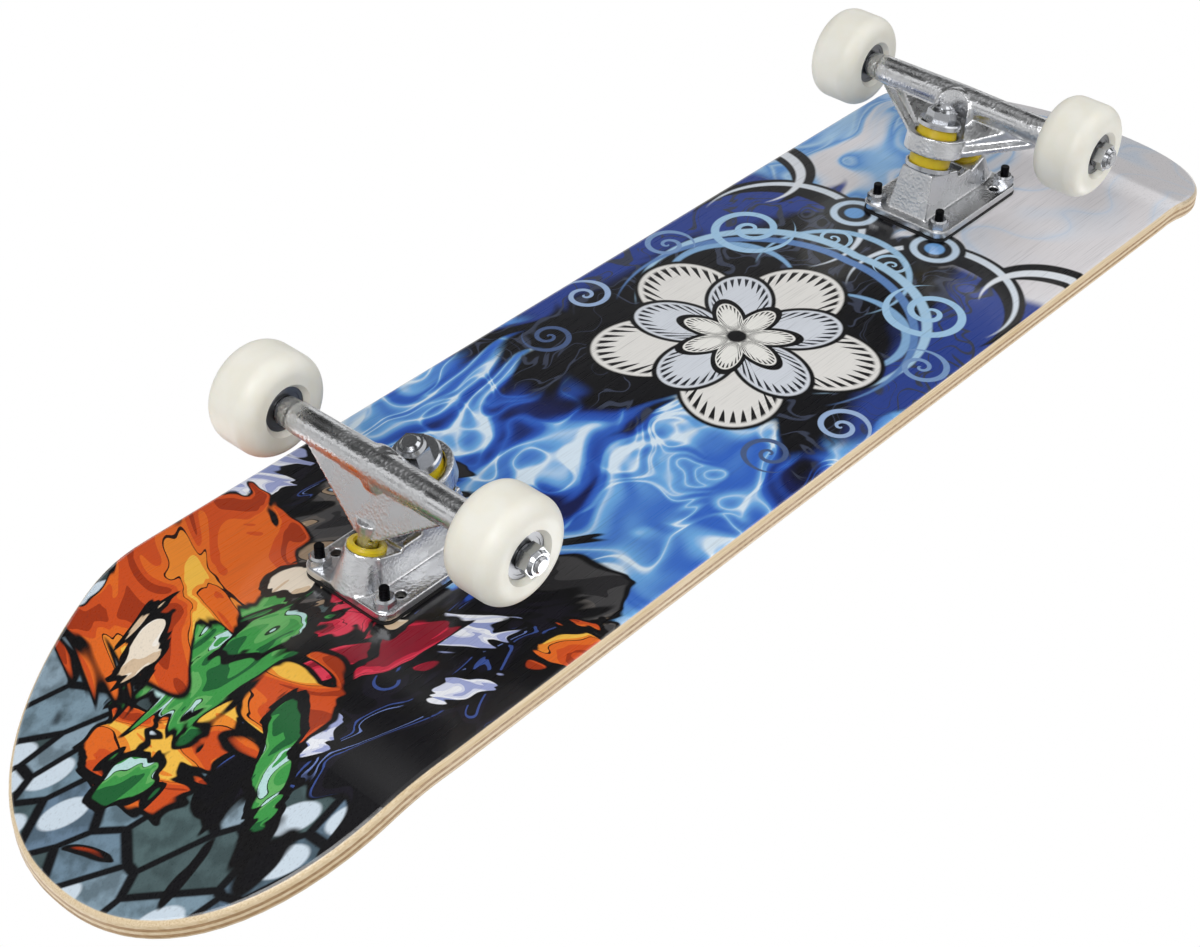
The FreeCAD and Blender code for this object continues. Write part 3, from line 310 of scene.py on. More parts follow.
# Silicon carbide grit in black resin on cloth: matt black with a few bright flashes. Real grains
# are 0.2 mm wide; they are drawn 0.6 mm wide so that they show.
material, tree, shader = blank_material("silicon carbide grip tape")
where = add(tree, "ShaderNodeTexCoord").outputs["Object"]
grit = add(tree, "ShaderNodeTexVoronoi", {"Vector": where, "Scale": 1 / (0.6 * MM)})
pick = add(tree, "ShaderNodeSeparateColor", {0: grit.outputs["Color"]}).outputs[0]
bump = add(tree, "ShaderNodeBump", {"Height": grit.outputs["Distance"], "Strength": 0.9,
                                    "Distance": 0.4 * MM}).outputs[0]
wear = add(tree, "ShaderNodeTexNoise", {"Vector": where, "Scale": 1 / (35.0 * MM),
                                        "Detail": 4.0}).outputs[0]
dust = add(tree, "ShaderNodeMapRange", {"Value": wear, "From Min": 0.35, "From Max": 0.7,
                                        "To Max": 0.25}).outputs[0]
shade = add(tree, "ShaderNodeMix", {0: dust, 6: linear("#0E0E10"), 7: linear("#2A2A2C")},
            data_type="RGBA").outputs[2]
rough = add(tree, "ShaderNodeMapRange", {"Value": pick, "From Min": 0.80, "From Max": 1.0,
                                         "To Min": 0.85, "To Max": 0.30}).outputs[0]
finish(tree, shader, shade, rough, bump)
shader.inputs["Specular IOR Level"].default_value = 0.3
FINISHES["grip_tape"] = material

# ---------------------------------------------------------------- printed face
# Maple face veneer with a heat-transfer print under gloss lacquer: flat bright inks with a soft
# sheen. The print is worked out in decimetres: x runs from -4.1 at the tail to 4.1 at the nose, and
# y from -1 to 1 across the board. So a scale of 2 there draws features about 50 mm wide.
KEY_INK = "#0C0B0D"  # near-black of the key lines round painted shapes
RAGGED = 0.95        # how far a brushed field pushes the edge of a daub about, in daub radii
KEY_LINE = 0.0352    # decimetres between the paint's edge and its key line's outer edge
STROKE = 2.6         # length of a brush stroke over its width


def over(tree, below, above, mask):
    """One ink laid over another where the mask is 1."""
    return add(tree, "ShaderNodeMix", {0: mask, 6: below, 7: above}, data_type="RGBA").outputs[2]


def after(tree, spot, ink):
    """The same place, but worked out after the ink, so that layers are shaded one at a time.

    The ink moves it by a tenth of a millionth of a decimetre, which doesn't show.
    """
    return add(tree, "ShaderNodeVectorMath", {0: ink, 1: (1e-7, 1e-7, 0.0), 2: spot},
               operation="MULTIPLY_ADD").outputs[0]


def step(tree, value, limit, blur=0.012):
    """1 where the value is under the limit, 0 over it, with a short soft edge."""
    return add(tree, "ShaderNodeMapRange", {"Value": value, "From Min": limit + blur,
                                            "From Max": limit - blur}, **SMOOTH).outputs[0]


def times(tree, one, other):
    """Both masks at once."""
    return add(tree, MATH, {0: one, 1: other}, operation="MULTIPLY").outputs[0]


def brushed(tree, spot, turn, seed, stops, scale):
    """Flat tones laid in long brush strokes, and the field that draws them."""
    local = add(tree, "ShaderNodeMapping", {"Vector": spot, "Location": (seed, seed * 0.7, 0.0),
                                            "Rotation": (0.0, 0.0, math.radians(turn)),
                                            "Scale": (1.0, 1 / STROKE, 1.0)}, vector_type="TEXTURE")
    field = add(tree, "ShaderNodeTexNoise", {"Vector": local.outputs[0], "Scale": scale,
                                             "Detail": 1.5, "Distortion": 0.9},
                **FLAT_NOISE).outputs[0]
    ramp = add(tree, "ShaderNodeValToRGB", {"Fac": field})
    set_stops(ramp, stops)
    ramp.color_ramp.interpolation = "CONSTANT"
    return ramp.outputs["Color"], field


def daub(tree, art, paint, spot, field, centre, size, turn):
    """A ragged oval of paint with a black key line round it."""
    local = add(tree, "ShaderNodeMapping", {"Vector": after(tree, spot, art),
                                            "Location": (*centre, 0.0), "Scale": (*size, 1.0),
                                            "Rotation": (0.0, 0.0, math.radians(turn))},
                vector_type="TEXTURE").outputs[0]
    reach = add(tree, "ShaderNodeVectorMath", {0: local}, operation="LENGTH").outputs["Value"]
    rim = add(tree, MATH, {0: field, 1: RAGGED * 2, 2: reach}, operation="MULTIPLY_ADD").outputs[0]
    key = step(tree, rim, 1 + RAGGED + KEY_LINE / min(size), 0.04)
    return over(tree, over(tree, art, linear(KEY_INK), key), paint,
                step(tree, rim, 1 + RAGGED, 0.04))


def spiral(tree, spot, centre, radius, turns, turn, hand):
    """Mask of one inked scroll that winds in to its eye."""
    local = add(tree, "ShaderNodeMapping", {"Vector": spot, "Location": (*centre, 0.0),
                                            "Scale": (radius, radius * hand, 1.0),
                                            "Rotation": (0.0, 0.0, math.radians(turn))},
                vector_type="TEXTURE").outputs[0]
    axes = add(tree, "ShaderNodeSeparateXYZ", {0: local}).outputs
    reach = add(tree, "ShaderNodeVectorMath", {0: local}, operation="LENGTH").outputs["Value"]
    bearing = add(tree, MATH, {0: axes[1], 1: axes[0]}, operation="ARCTAN2").outputs[0]
    wound = add(tree, MATH, {0: bearing, 1: 1 / (2 * math.pi)}, operation="MULTIPLY").outputs[0]
    root = add(tree, MATH, {0: reach, 1: 0.7}, operation="POWER").outputs[0]
    coil = add(tree, MATH, {0: root, 1: turns, 2: wound}, operation="MULTIPLY_ADD").outputs[0]
    away = add(tree, MATH, {0: coil, 1: 0.5}, operation="PINGPONG").outputs[0]
    return times(tree, step(tree, away, 0.16, 0.03), step(tree, reach, 1.0))


def crescent(tree, spot, centre, radius, bite, bite_radius):
    """Mask of a disc with a second disc taken out of it."""
    masks = []
    for middle, size in ((centre, radius), (bite, bite_radius)):
        reach = add(tree, "ShaderNodeVectorMath", {0: spot, 1: (*middle, 0.0)},
                    operation="DISTANCE")
        masks.append(step(tree, reach.outputs["Value"], size, 0.008))
    return add(tree, MATH, {0: masks[0], 1: masks[1]}, operation="SUBTRACT",
               use_clamp=True).outputs[0]


def petal(tree, reach, bearing, count, turn, centre, size):
    """How far out a place lies in the nearest of a ring of oval petals; 1 is a petal's edge."""
    turned = add(tree, MATH, {0: bearing, 1: math.pi + turn}, operation="ADD").outputs[0]
    sector = add(tree, MATH, {0: turned, 1: math.pi / count}, operation="PINGPONG").outputs[0]
    parts = []
    for shape, middle, half in (("COSINE", centre, size[0]), ("SINE", 0.0, size[1])):
        side = add(tree, MATH, {0: sector}, operation=shape).outputs[0]
        part = add(tree, MATH, {0: side, 1: reach}, operation="MULTIPLY").outputs[0]
        part = add(tree, MATH, {0: part, 1: middle}, operation="SUBTRACT").outputs[0]
        parts.append(add(tree, MATH, {0: part, 1: half}, operation="DIVIDE").outputs[0])
    far = add(tree, "ShaderNodeCombineXYZ", {0: parts[0], 1: parts[1]}).outputs[0]
    return add(tree, "ShaderNodeVectorMath", {0: far}, operation="LENGTH").outputs["Value"]


def smoke(tree, spot, scale, warp, sharp, seed):
    """Wisps that curl along the board, from 0 to 1, and the field under them."""
    bend = add(tree, "ShaderNodeTexNoise", {"Vector": spot, "Scale": scale * 0.9, "Detail": 1.0},
               **FLAT_NOISE).outputs[0]
    bend = add(tree, "ShaderNodeCombineXYZ", {0: bend, 1: bend}).outputs[0]
    shift = add(tree, "ShaderNodeVectorMath", {0: bend, 1: (warp, -warp, 0.0), 2: spot},
                operation="MULTIPLY_ADD").outputs[0]
    local = add(tree, "ShaderNodeMapping", {"Vector": shift, "Location": (seed, seed, 0.0),
                                            "Scale": (0.42, 1.7, 1.0),
                                            "Rotation": (0.0, 0.0, 0.15)}).outputs[0]
    field = add(tree, "ShaderNodeTexNoise", {"Vector": local, "Scale": scale, "Detail": 1.5,
                                             "Roughness": 0.35, "Distortion": 0.45},
                **FLAT_NOISE).outputs[0]
    away = add(tree, MATH, {0: field, 1: 0.5}, operation="SUBTRACT").outputs[0]
    away = add(tree, MATH, {0: away}, operation="ABSOLUTE").outputs[0]
    wisp = add(tree, "ShaderNodeMapRange", {"Value": away, "From Min": 0.16,
                                            "From Max": 0.0}).outputs[0]
    return add(tree, MATH, {0: wisp, 1: sharp}, operation="POWER").outputs[0], field


def printed_art(tree):
    """The print's colour, ground to last ink."""
    where = add(tree, "ShaderNodeTexCoord").outputs["Object"]
    spot = add(tree, "ShaderNodeVectorMath", {0: where, 1: (10.0, 10.0, 0.0)},
               operation="MULTIPLY").outputs[0]
    along, across, _ = add(tree, "ShaderNodeSeparateXYZ", {0: spot}).outputs
    mirrored = add(tree, MATH, {0: across}, operation="ABSOLUTE").outputs[0]
    half = add(tree, "ShaderNodeCombineXYZ", {0: along, 1: mirrored}).outputs[0]

    # blue smoke over the middle, with pale wisps in it
    wisps, body = smoke(tree, spot, 1.5, 1.3, 2.2, 3.0)
    veins, _ = smoke(tree, spot, 2.3, 1.1, 3.0, 7.0)
    level = add(tree, MATH, {0: wisps, 1: 0.42, 2: body}, operation="MULTIPLY_ADD").outputs[0]
    level = add(tree, MATH, {0: veins, 1: 0.26, 2: level}, operation="MULTIPLY_ADD").outputs[0]
    ramp = add(tree, "ShaderNodeValToRGB", {"Fac": level})
    set_stops(ramp, [(0.34, "#141C50"), (0.46, "#234AA8"), (0.64, "#3266C6"), (0.84, "#70AEE6"),
                     (1.0, "#DCECF9")])
    art = ramp.outputs["Color"]

    # black field round the emblem; smoke eats into its edge, and blue shows through near the rails
    edge = add(tree, MATH, {0: body, 1: 1.7, 2: along}, operation="MULTIPLY_ADD").outputs[0]
    edge = add(tree, MATH, {0: across, 1: -0.35, 2: edge}, operation="MULTIPLY_ADD").outputs[0]
    night = step(tree, edge, 1.22, 0.10)
    art = over(tree, art, linear("#0B0B10"), night)
    rails = add(tree, MATH, {0: mirrored, 1: 1.2, 2: body}, operation="MULTIPLY_ADD").outputs[0]
    rails = add(tree, MATH, {0: along, 1: -0.35, 2: rails}, operation="MULTIPLY_ADD").outputs[0]
    royal = add(tree, "ShaderNodeMapRange", {"Value": rails, "From Min": 1.50, "From Max": 1.66},
                **SMOOTH).outputs[0]
    art = over(tree, art, linear("#2B4290"), times(tree, royal, night))

    # faint curls all over the black field
    swirl, _ = smoke(tree, after(tree, spot, art), 4.2, 0.5, 1.0, 11.0)
    curl = add(tree, "ShaderNodeMapRange", {"Value": swirl, "From Min": 0.80, "From Max": 0.92},
               **SMOOTH).outputs[0]
    art = over(tree, art, linear("#3A4052"), times(tree, curl, night))

    # pale tail with light blue wisps, which are stronger on the left
    dawn = add(tree, MATH, {0: body, 1: 0.8, 2: along}, operation="MULTIPLY_ADD").outputs[0]
    leftward = add(tree, "ShaderNodeMapRange", {"Value": across, "From Min": -0.5, "From Max": 0.8,
                                                "To Min": 0.25, "To Max": 1.0}, **SMOOTH).outputs[0]
    veil = add(tree, "ShaderNodeValToRGB", {"Fac": times(tree, wisps, leftward)})
    set_stops(veil, [(0.0, "#E2DFE2"), (0.20, "#D9DEE8"), (0.55, "#8DBBE6"), (0.80, "#5C97DB"),
                     (1.0, "#A9CDEB")])
    art = over(tree, art, veil.outputs["Color"], step(tree, dawn, -1.26, 0.06))

    # black arms, scrollwork and rings, the same on both sides of the middle line. Each is a disc
    # (centre, radius) with a second disc cut out of it, which is far away where nothing is cut.
    for centre, radius, bite, bite_radius, ink in (
        ((-1.28, 0.50), 0.50, (-1.16, 0.52), 0.44, "#0B0B10"),
        ((-1.62, 1.02), 0.40, (-1.46, 1.04), 0.38, "#0B0B10"),
        ((-1.30, 0.50), 0.455, (-1.265, 0.505), 0.44, "#DDE6F0"),
        ((-1.60, 1.02), 0.355, (-1.55, 1.03), 0.34, "#E6EBF2"),
        ((-0.70, 0.38), 0.34, (-0.67, 0.35), 0.33, "#86B0D8"),
        ((-1.10, 0.00), 0.42, (-1.07, 0.00), 0.405, "#9CC4E4"),
        ((-0.66, 0.12), 0.68, (-0.62, 0.10), 0.665, "#A9CDE8"),
        ((-0.52, 0.06), 0.74, (-0.48, 0.05), 0.728, "#5F86BE"),
        ((-1.65, 0.27), 0.17, (9.0, 9.0), 0.01, "#0B0B10"),
        ((-1.65, 0.27), 0.135, (-1.65, 0.27), 0.095, "#C9DDF0"),
        ((-1.65, 0.27), 0.055, (9.0, 9.0), 0.01, "#6FA6E0"),
    ):
        shape = crescent(tree, after(tree, half, art), centre, radius, bite, bite_radius)
        art = over(tree, art, linear(ink), shape)
    # scrolls: centre, radius, turns to the eye, angle in degrees, and -1 for the mirror image
    for centre, radius, turns, turn, hand, ink in (
        ((-1.14, 0.60), 0.25, 2.3, 20.0, 1.0, "#A4CBEA"),
        ((-0.72, 0.84), 0.15, 2.0, 200.0, -1.0, "#7C9CC8"),
        ((-0.05, 0.84), 0.15, 2.0, 120.0, 1.0, "#9DB6DA"),
        ((-1.36, 0.20), 0.11, 2.0, 300.0, -1.0, "#A9CDE8"),
        ((0.36, 0.72), 0.14, 2.0, 10.0, -1.0, "#4B5F88"),
    ):
        shape = spiral(tree, after(tree, half, art), centre, radius, turns, turn, hand)
        art = over(tree, art, linear(ink), shape)

    # off-white rosette with engraved shading: rings of petals, the outermost ring first
    local = add(tree, "ShaderNodeVectorMath", {0: after(tree, spot, art), 1: (-0.28, 0.0, 0.0)},
                operation="SUBTRACT").outputs[0]
    reach = add(tree, "ShaderNodeVectorMath", {0: local}, operation="LENGTH").outputs["Value"]
    arms = add(tree, "ShaderNodeSeparateXYZ", {0: local}).outputs
    bearing = add(tree, MATH, {0: arms[1], 1: arms[0]}, operation="ARCTAN2").outputs[0]
    comb = add(tree, MATH, {0: bearing, 1: 84.0}, operation="MULTIPLY").outputs[0]
    comb = add(tree, MATH, {0: comb}, operation="SINE").outputs[0]
    for count, turn, centre, size, lights, shades in (
        (5, 0.0, 0.46, (0.30, 0.255), "#E9E7E3", "#1A191B"),
        (5, math.pi / 5, 0.33, (0.23, 0.165), "#D9DEE6", "#20242E"),
        (7, 0.0, 0.17, (0.13, 0.065), "#F0EFEA", "#17171A"),
    ):
        rim = petal(tree, reach, bearing, count, turn, centre, size)
        art = over(tree, art, linear("#0A0A0C"), step(tree, rim, 1.0 + 0.022 / size[1], 0.03))
        art = over(tree, art, linear(lights), step(tree, rim, 1.0, 0.03))
        near = add(tree, "ShaderNodeMapRange", {"Value": rim, "From Min": 0.42, "From Max": 1.0,
                                                "To Min": -1.3, "To Max": 1.0}).outputs[0]
        cut = add(tree, MATH, {0: comb, 1: near}, operation="ADD").outputs[0]
        cut = add(tree, "ShaderNodeMapRange", {"Value": cut, "From Min": 0.20, "From Max": 0.50},
                  **SMOOTH).outputs[0]
        art = over(tree, art, linear(shades), times(tree, cut, step(tree, rim, 0.90, 0.04)))
    art = over(tree, art, linear("#0F0F12"), step(tree, reach, 0.055))

    # cobbles under the nose: grey blue stones with pale lights and black joints
    laid = after(tree, spot, art)
    stretch = add(tree, "ShaderNodeMapping", {"Vector": laid, "Scale": (1.0, 0.50, 1.0),
                                              "Rotation": (0.0, 0.0, 0.6)}, vector_type="TEXTURE")
    stone = {"Vector": stretch.outputs[0], "Scale": 2.6, "Randomness": 1.0}
    cells = add(tree, "ShaderNodeTexVoronoi", stone, voronoi_dimensions="2D").outputs
    tone = add(tree, "ShaderNodeSeparateColor", {0: cells["Color"]}).outputs
    ramp = add(tree, "ShaderNodeValToRGB", {"Fac": tone[0]})
    set_stops(ramp, [(0.0, "#3F4C50"), (0.3, "#53696B"), (0.55, "#5F7692"), (0.75, "#7690A0"),
                     (1.0, "#A2B4C2")])
    dapple = add(tree, "ShaderNodeTexNoise", {"Vector": laid, "Scale": 9.0, "Detail": 3.0},
                 **FLAT_NOISE).outputs[0]
    worn = add(tree, "ShaderNodeMapRange", {"Value": dapple, "From Min": 0.42, "From Max": 0.62,
                                            "To Max": 0.5}).outputs[0]
    stones = over(tree, ramp.outputs["Color"], linear("#2C3A3C"), worn)
    lit = add(tree, MATH, {0: tone[1], 1: 0.25}, operation="GREATER_THAN").outputs[0]
    lit = times(tree, step(tree, cells["Distance"], 0.30, 0.03), lit)
    stones = over(tree, stones, linear("#CFDDE9"), lit)
    joints = add(tree, "ShaderNodeTexVoronoi", stone, feature="DISTANCE_TO_EDGE",
                 voronoi_dimensions="2D").outputs["Distance"]
    stones = over(tree, stones, linear("#0D0E12"), step(tree, joints, 0.07, 0.025))
    rise = add(tree, MATH, {0: body, 1: 0.9, 2: along}, operation="MULTIPLY_ADD").outputs[0]
    ground = add(tree, "ShaderNodeMapRange", {"Value": rise, "From Min": 2.55, "From Max": 2.62},
                 **SMOOTH).outputs[0]
    art = over(tree, art, stones, ground)

    # bright brushed shapes round the front truck, each paint as flat tones with a thin dark vein
    orange = [(0.0, "#A5360F"), (0.36, "#D2501B"), (0.46, "#E56A1F"), (0.55, "#2A100A"),
              (0.565, "#EE8A2B"), (0.62, "#F7C04A")]
    green = [(0.0, "#1F6334"), (0.38, "#3F9A4A"), (0.49, "#63B060"), (0.55, "#0F3319"),
             (0.565, "#BCE0DE"), (0.66, "#3F9A4A")]
    red = [(0.0, "#8C1228"), (0.40, "#CB2340"), (0.50, "#E23D56"), (0.57, "#2A0810"),
           (0.585, "#E23D56")]
    dark = [(0.0, "#0B0A0F"), (0.50, "#17141F"), (0.57, "#3A5092"), (0.59, "#0B0A0F"),
            (0.64, "#6C80BC"), (0.655, "#0B0A0F")]
    grey = [(0.0, "#2C2B2D"), (0.40, "#474647"), (0.50, "#5F5B58"), (0.56, "#1A191B"),
            (0.575, "#9C8770"), (0.65, "#C6AC92")]
    lilac = [(0.0, "#9FA8D4"), (0.42, "#D5D9EC"), (0.50, "#EDEFF6"), (0.62, "#8F9BCB")]
    cream = [(0.0, "#D9BFA0"), (0.45, "#EFE2CF"), (0.60, "#F6EFE4")]
    # the strokes' angle in degrees, seed and fineness; each daub's centre, half sizes and angle
    for tones, turn, seed, fine, daubs in (
        (grey, 35.0, 1.0, 1.5, (((2.25, 0.35), (0.60, 0.50), 15.0),
                                ((1.95, -0.76), (0.42, 0.28), -20.0))),
        (dark, 10.0, 2.0, 1.5, (((2.62, -0.58), (0.86, 0.44), 12.0),
                                ((3.05, -0.12), (0.42, 0.30), 0.0),
                                ((2.05, 0.84), (0.28, 0.22), 0.0))),
        (lilac, 60.0, 3.0, 3.4, (((2.18, 0.95), (0.26, 0.18), 0.0),
                                 ((2.22, -0.52), (0.20, 0.11), 40.0),
                                 ((2.50, -0.76), (0.16, 0.06), 20.0),
                                 ((3.02, -0.46), (0.15, 0.07), -30.0))),
        (red, 20.0, 4.0, 2.6, (((2.42, -0.06), (0.34, 0.11), -25.0),
                               ((2.60, -0.36), (0.30, 0.13), 20.0),
                               ((2.78, -0.24), (0.16, 0.08), 0.0))),
        (orange, 75.0, 5.0, 2.2, (((3.34, 0.00), (0.40, 0.18), 10.0),
                                  ((3.02, -0.22), (0.24, 0.20), -30.0),
                                  ((3.52, 0.26), (0.15, 0.13), 50.0),
                                  ((1.98, -0.90), (0.16, 0.11), 20.0))),
        (green, 15.0, 6.0, 2.8, (((3.02, 0.18), (0.40, 0.22), 5.0),
                                 ((3.60, 0.10), (0.13, 0.10), 60.0),
                                 ((2.76, 0.08), (0.20, 0.10), 20.0),
                                 ((3.24, -0.42), (0.22, 0.07), -35.0))),
        (orange, 110.0, 8.0, 1.5, (((2.82, 0.62), (0.58, 0.36), -14.0),)),
        (cream, 0.0, 9.0, 3.6, (((2.50, 0.26), (0.13, 0.08), 30.0),
                                ((3.16, 0.50), (0.15, 0.08), -20.0),
                                ((2.22, -0.20), (0.22, 0.05), -22.0))),
    ):
        paint, field = brushed(tree, after(tree, spot, art), turn, seed, tones, fine)
        for middle, size, tilt in daubs:
            art = daub(tree, art, paint, spot, field, middle, size, tilt)
    return art


# The board's outline as the CAD draws it: straight sides, and superellipses at the nose and tail
HALF_WIDTH = 100 * MM
HALF_LENGTH = 410 * MM
NOSE_CURVE = 138 * MM  # length of the rounded end
TAIL_CURVE = 134 * MM
END_POWER = 2.2
PRINT_INSET = 1.6 * MM  # bare wood between the print and the outline


def printed_face():
    """Veneer, print and lacquer on the board's underside; the ply's rounded edge is bare."""
    material, tree, shader = blank_material("printed maple veneer, gloss lacquer")
    where = add(tree, "ShaderNodeTexCoord").outputs["Object"]
    along, across, _ = add(tree, "ShaderNodeSeparateXYZ", {0: where}).outputs
    wide = add(tree, MATH, {0: across}, operation="ABSOLUTE").outputs[0]
    wide = add(tree, MATH, {0: wide, 1: 1 / (HALF_WIDTH - PRINT_INSET)},
               operation="MULTIPLY").outputs[0]
    wide = add(tree, MATH, {0: wide, 1: END_POWER}, operation="POWER").outputs[0]
    ends = []
    for side, curve in ((1, NOSE_CURVE), (-1, TAIL_CURVE)):
        past = add(tree, "ShaderNodeMapRange", {"Value": along,
                                                "From Min": side * (HALF_LENGTH - curve),
                                                "From Max": side * (HALF_LENGTH - PRINT_INSET)},
                   clamp=False).outputs[0]
        past = add(tree, MATH, {0: past, 1: 0.0}, operation="MAXIMUM").outputs[0]
        ends.append(add(tree, MATH, {0: past, 1: END_POWER}, operation="POWER").outputs[0])
    long = add(tree, MATH, {0: ends[0], 1: ends[1]}, operation="MAXIMUM").outputs[0]
    outline = add(tree, MATH, {0: long, 1: wide}, operation="ADD").outputs[0]
    normal = add(tree, "ShaderNodeNewGeometry").outputs["Normal"]
    facing = add(tree, "ShaderNodeSeparateXYZ", {0: normal}).outputs
    below = add(tree, MATH, {0: facing[2], 1: -0.3}, operation="LESS_THAN").outputs[0]
    inked = add(tree, "ShaderNodeMapRange", {"Value": outline, "From Min": 1.004,
                                             "From Max": 0.996}).outputs[0]
    inked = times(tree, inked, below)
    # pores in the veneer, 31 mm long and 0.6 mm wide, show through the ink and the lacquer
    length, width = 1 / (31.0 * MM), 1 / (0.6 * MM)
    grain = add(tree, "ShaderNodeMapping", {"Vector": where,
                                            "Scale": (length, width, width)}).outputs[0]
    fibre = add(tree, "ShaderNodeTexNoise", {"Vector": grain, "Scale": 1.0,
                                             "Detail": 4.0}).outputs["Fac"]
    streak = add(tree, "ShaderNodeMapRange", {"Value": fibre, "From Min": 0.55, "From Max": 0.75,
                                              "To Max": 0.28}).outputs[0]
    ink = over(tree, printed_art(tree), linear("#1A1A20"), streak)
    wood = add(tree, "ShaderNodeValToRGB", {"Fac": fibre})
    set_stops(wood, [(0.3, "#D6BB90"), (0.7, "#EFDCBC")])
    colour = over(tree, wood.outputs["Color"], ink, inked)
    bump = add(tree, "ShaderNodeBump", {"Height": fibre, "Strength": 0.12,
                                        "Distance": 0.2 * MM}).outputs[0]
    rough = add(tree, "ShaderNodeMapRange", {"Value": fibre, "From Min": 0.3, "From Max": 0.7,
                                             "To Min": 0.26, "To Max": 0.34}).outputs[0]
    finish(tree, shader, colour, rough, bump)
    shader.inputs["Coat Weight"].default_value = 0.5
    shader.inputs["Coat Roughness"].default_value = 0.12
    return material


FINISHES["bottom_face_ply"] = printed_face()

slots = {part["node"]: part["material_slot"] for part in frame["record"]["subparts"]}
for node_name, node_object in frame["nodes"].items():
    node_object.data.materials.clear()
    node_object.data.materials.append(FINISHES[slots[node_name]])

# ---------------------------------------------------------------- castings
# Sand-cast and tumbled edges are round. Remeshing the node's welded skin and relaxing it rounds
# them by about 1 mm.
SAME_CORNER = 0.002 * MM  # corners of a CAD mesh nearer than this are one corner
CASTINGS = {"hanger": (0.62, 5), "baseplate": (0.60, 4)}  # grid in mm, rounds of relaxing


def cast_edges(node_object, grid_mm, rounds):
    """Round a CAD node's edges with modifiers, which leave its own mesh as it is."""
    weld = node_object.modifiers.new("weld", "WELD")
    weld.merge_threshold = SAME_CORNER
    skin = node_object.modifiers.new("skin", "REMESH")
    skin.mode = "VOXEL"
    skin.voxel_size = grid_mm * MM
    skin.use_smooth_shade = True
    relax = node_object.modifiers.new("relax", "SMOOTH")
    relax.factor = 0.5
    relax.iterations = rounds


for end in ("front", "rear"):
    for casting, (grid_mm, rounds) in CASTINGS.items():
        cast_edges(frame["nodes"][f"{end}_{casting}"], grid_mm, rounds)

# ---------------------------------------------------------------- screw threads
# Each in mm: the pitch, how far the ridge's middle is from the axis, and the ridge's own radius
BOLT_THREAD = (0.8, 2.15, 0.26)
AXLE_THREAD = (1.06, 3.90, 0.2)


def solids(name):
    """The separate solids of a CAD node, each as its lowest and highest corner."""
    mesh = bmesh.new()
    mesh.from_mesh(frame["nodes"][name].data)
    bmesh.ops.remove_doubles(mesh, verts=mesh.verts, dist=SAME_CORNER)
    left, boxes = set(mesh.verts), []
    while left:
        queue, island = [left.pop()], []
        while queue:
            corner = queue.pop()
            island.append(corner.co.copy())
            for link in corner.link_edges:
                other = link.other_vert(corner)
                if other in left:
                    left.remove(other)
                    queue.append(other)
        boxes.append([Vector([pick(co[axis] for co in island) for axis in range(3)])
                      for pick in (min, max)])
    mesh.free()
    return sorted(boxes, key=lambda box: tuple(box[0]))  # a set gives its corners in any order


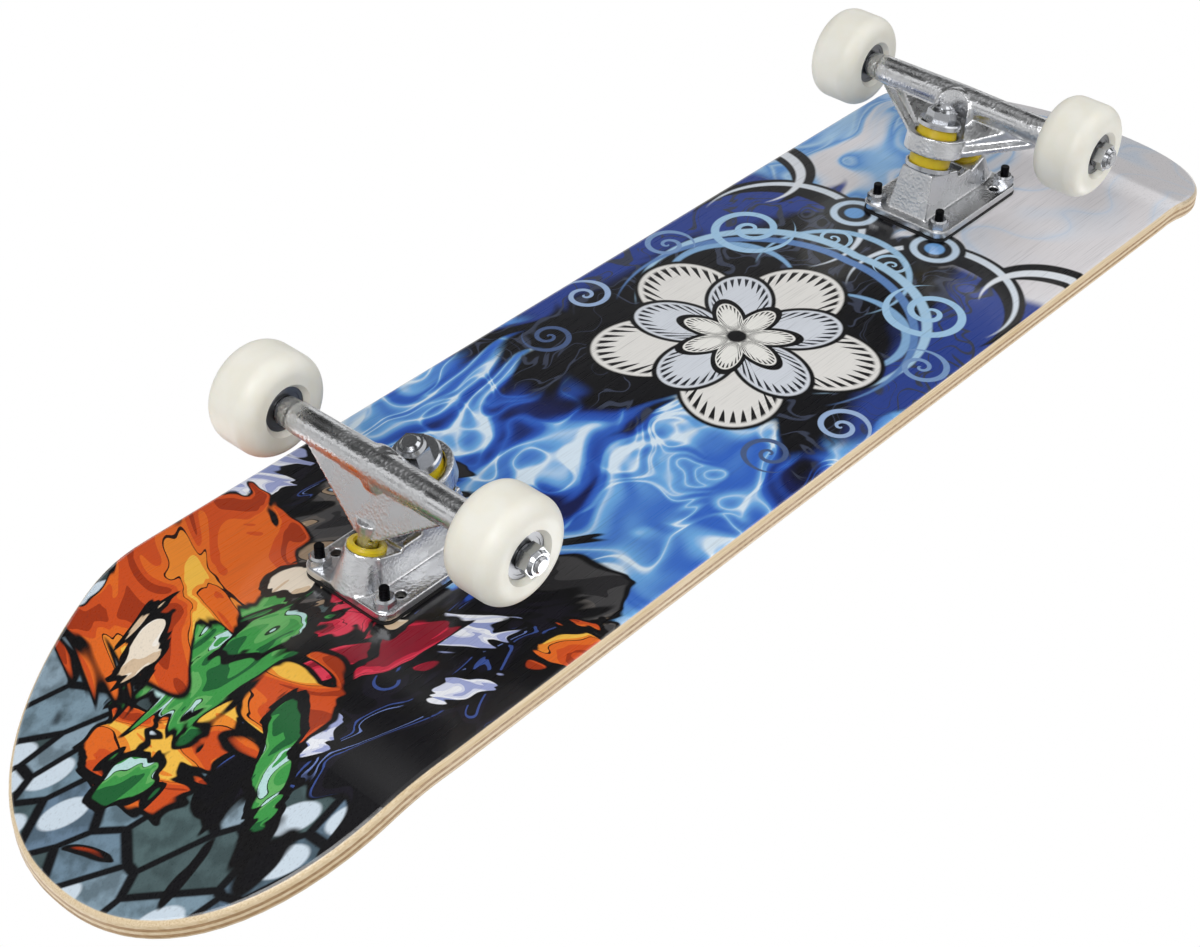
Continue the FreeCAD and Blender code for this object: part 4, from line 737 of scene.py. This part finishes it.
def thread_tree():
    """Rings at an even pitch along every edge of the mesh, which reads as a rolled screw thread."""
    tree = bpy.data.node_groups.new("screw_thread", "GeometryNodeTree")
    face = tree.interface
    face.new_socket("Geometry", in_out="INPUT", socket_type="NodeSocketGeometry")
    for label in ("Pitch", "Radius", "Ridge"):
        face.new_socket(label, in_out="INPUT", socket_type="NodeSocketFloat")
    face.new_socket("Finish", in_out="INPUT", socket_type="NodeSocketMaterial")
    face.new_socket("Geometry", in_out="OUTPUT", socket_type="NodeSocketGeometry")
    given = add(tree, "NodeGroupInput").outputs
    line = add(tree, "GeometryNodeMeshToCurve", {"Mesh": given["Geometry"]}).outputs[0]
    stops = add(tree, "GeometryNodeCurveToPoints", {"Curve": line, "Length": given["Pitch"]},
                mode="LENGTH").outputs
    ring = add(tree, "GeometryNodeCurvePrimitiveCircle", {"Resolution": 32,
                                                          "Radius": given["Radius"]}).outputs[0]
    wire = add(tree, "GeometryNodeCurvePrimitiveCircle", {"Resolution": 8,
                                                          "Radius": given["Ridge"]}).outputs[0]
    ridge = add(tree, "GeometryNodeCurveToMesh", {"Curve": ring, "Profile Curve": wire}).outputs[0]
    laid = add(tree, "GeometryNodeInstanceOnPoints", {"Points": stops[0], "Instance": ridge,
                                                      "Rotation": stops["Rotation"]}).outputs[0]
    real = add(tree, "GeometryNodeRealizeInstances", {0: laid}).outputs[0]
    smooth = add(tree, "GeometryNodeSetShadeSmooth", {0: real}).outputs[0]
    done = add(tree, "GeometryNodeSetMaterial", {"Geometry": smooth, "Material": given["Finish"]})
    add(tree, "NodeGroupOutput", {0: done.outputs[0]})
    return tree


THREAD = thread_tree()


def threads(name, body, slot, lines, pitch_mm, radius_mm, ridge_mm):
    """Thread ridges round straight lines, as a plain mesh that rides on a body."""
    mesh = bpy.data.meshes.new(name + "_lines")
    mesh.from_pydata([point for line in lines for point in line],
                     [(2 * i, 2 * i + 1) for i in range(len(lines))], [])
    holder = bpy.data.objects.new(name + "_lines", mesh)
    bpy.context.scene.collection.objects.link(holder)
    modifier = holder.modifiers.new("thread", "NODES")
    modifier.node_group = THREAD
    sizes = {"Pitch": pitch_mm * MM, "Radius": radius_mm * MM, "Ridge": ridge_mm * MM,
             "Finish": FINISHES[slot]}
    for socket in THREAD.interface.items_tree:
        if socket.name in sizes:
            modifier[socket.identifier] = sizes[socket.name]
    solved = holder.evaluated_get(bpy.context.evaluated_depsgraph_get())
    made = bpy.data.meshes.new_from_object(solved)
    bpy.data.objects.remove(holder)
    made.name = name
    piece = bpy.data.objects.new(name, made)
    bpy.context.scene.collection.objects.link(piece)
    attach(piece, body)


for end in ("front", "rear"):
    nut_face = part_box(f"{end}_mounting_nuts")[0][2]
    lines = []
    for low, high in solids(f"{end}_mounting_bolts"):
        middle = (low + high) / 2
        lines.append(((middle.x, middle.y, low.z + 0.5 * MM),
                      (middle.x, middle.y, nut_face - 0.2 * MM)))
    threads(f"{end}_bolt_threads", "deck", "black_steel", lines, *BOLT_THREAD)
    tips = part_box(f"{end}_axle")
    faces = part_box(f"{end}_axle_nuts")
    x, z = (tips[0][0] + tips[1][0]) / 2, (tips[0][2] + tips[1][2]) / 2
    lines = [((x, faces[side][1] + out * 0.3 * MM, z), (x, tips[side][1] - out * 0.8 * MM, z))
             for side, out in ((0, -1), (1, 1))]
    threads(f"{end}_axle_threads", f"{end}_axle_unit", "axle_steel", lines, *AXLE_THREAD)
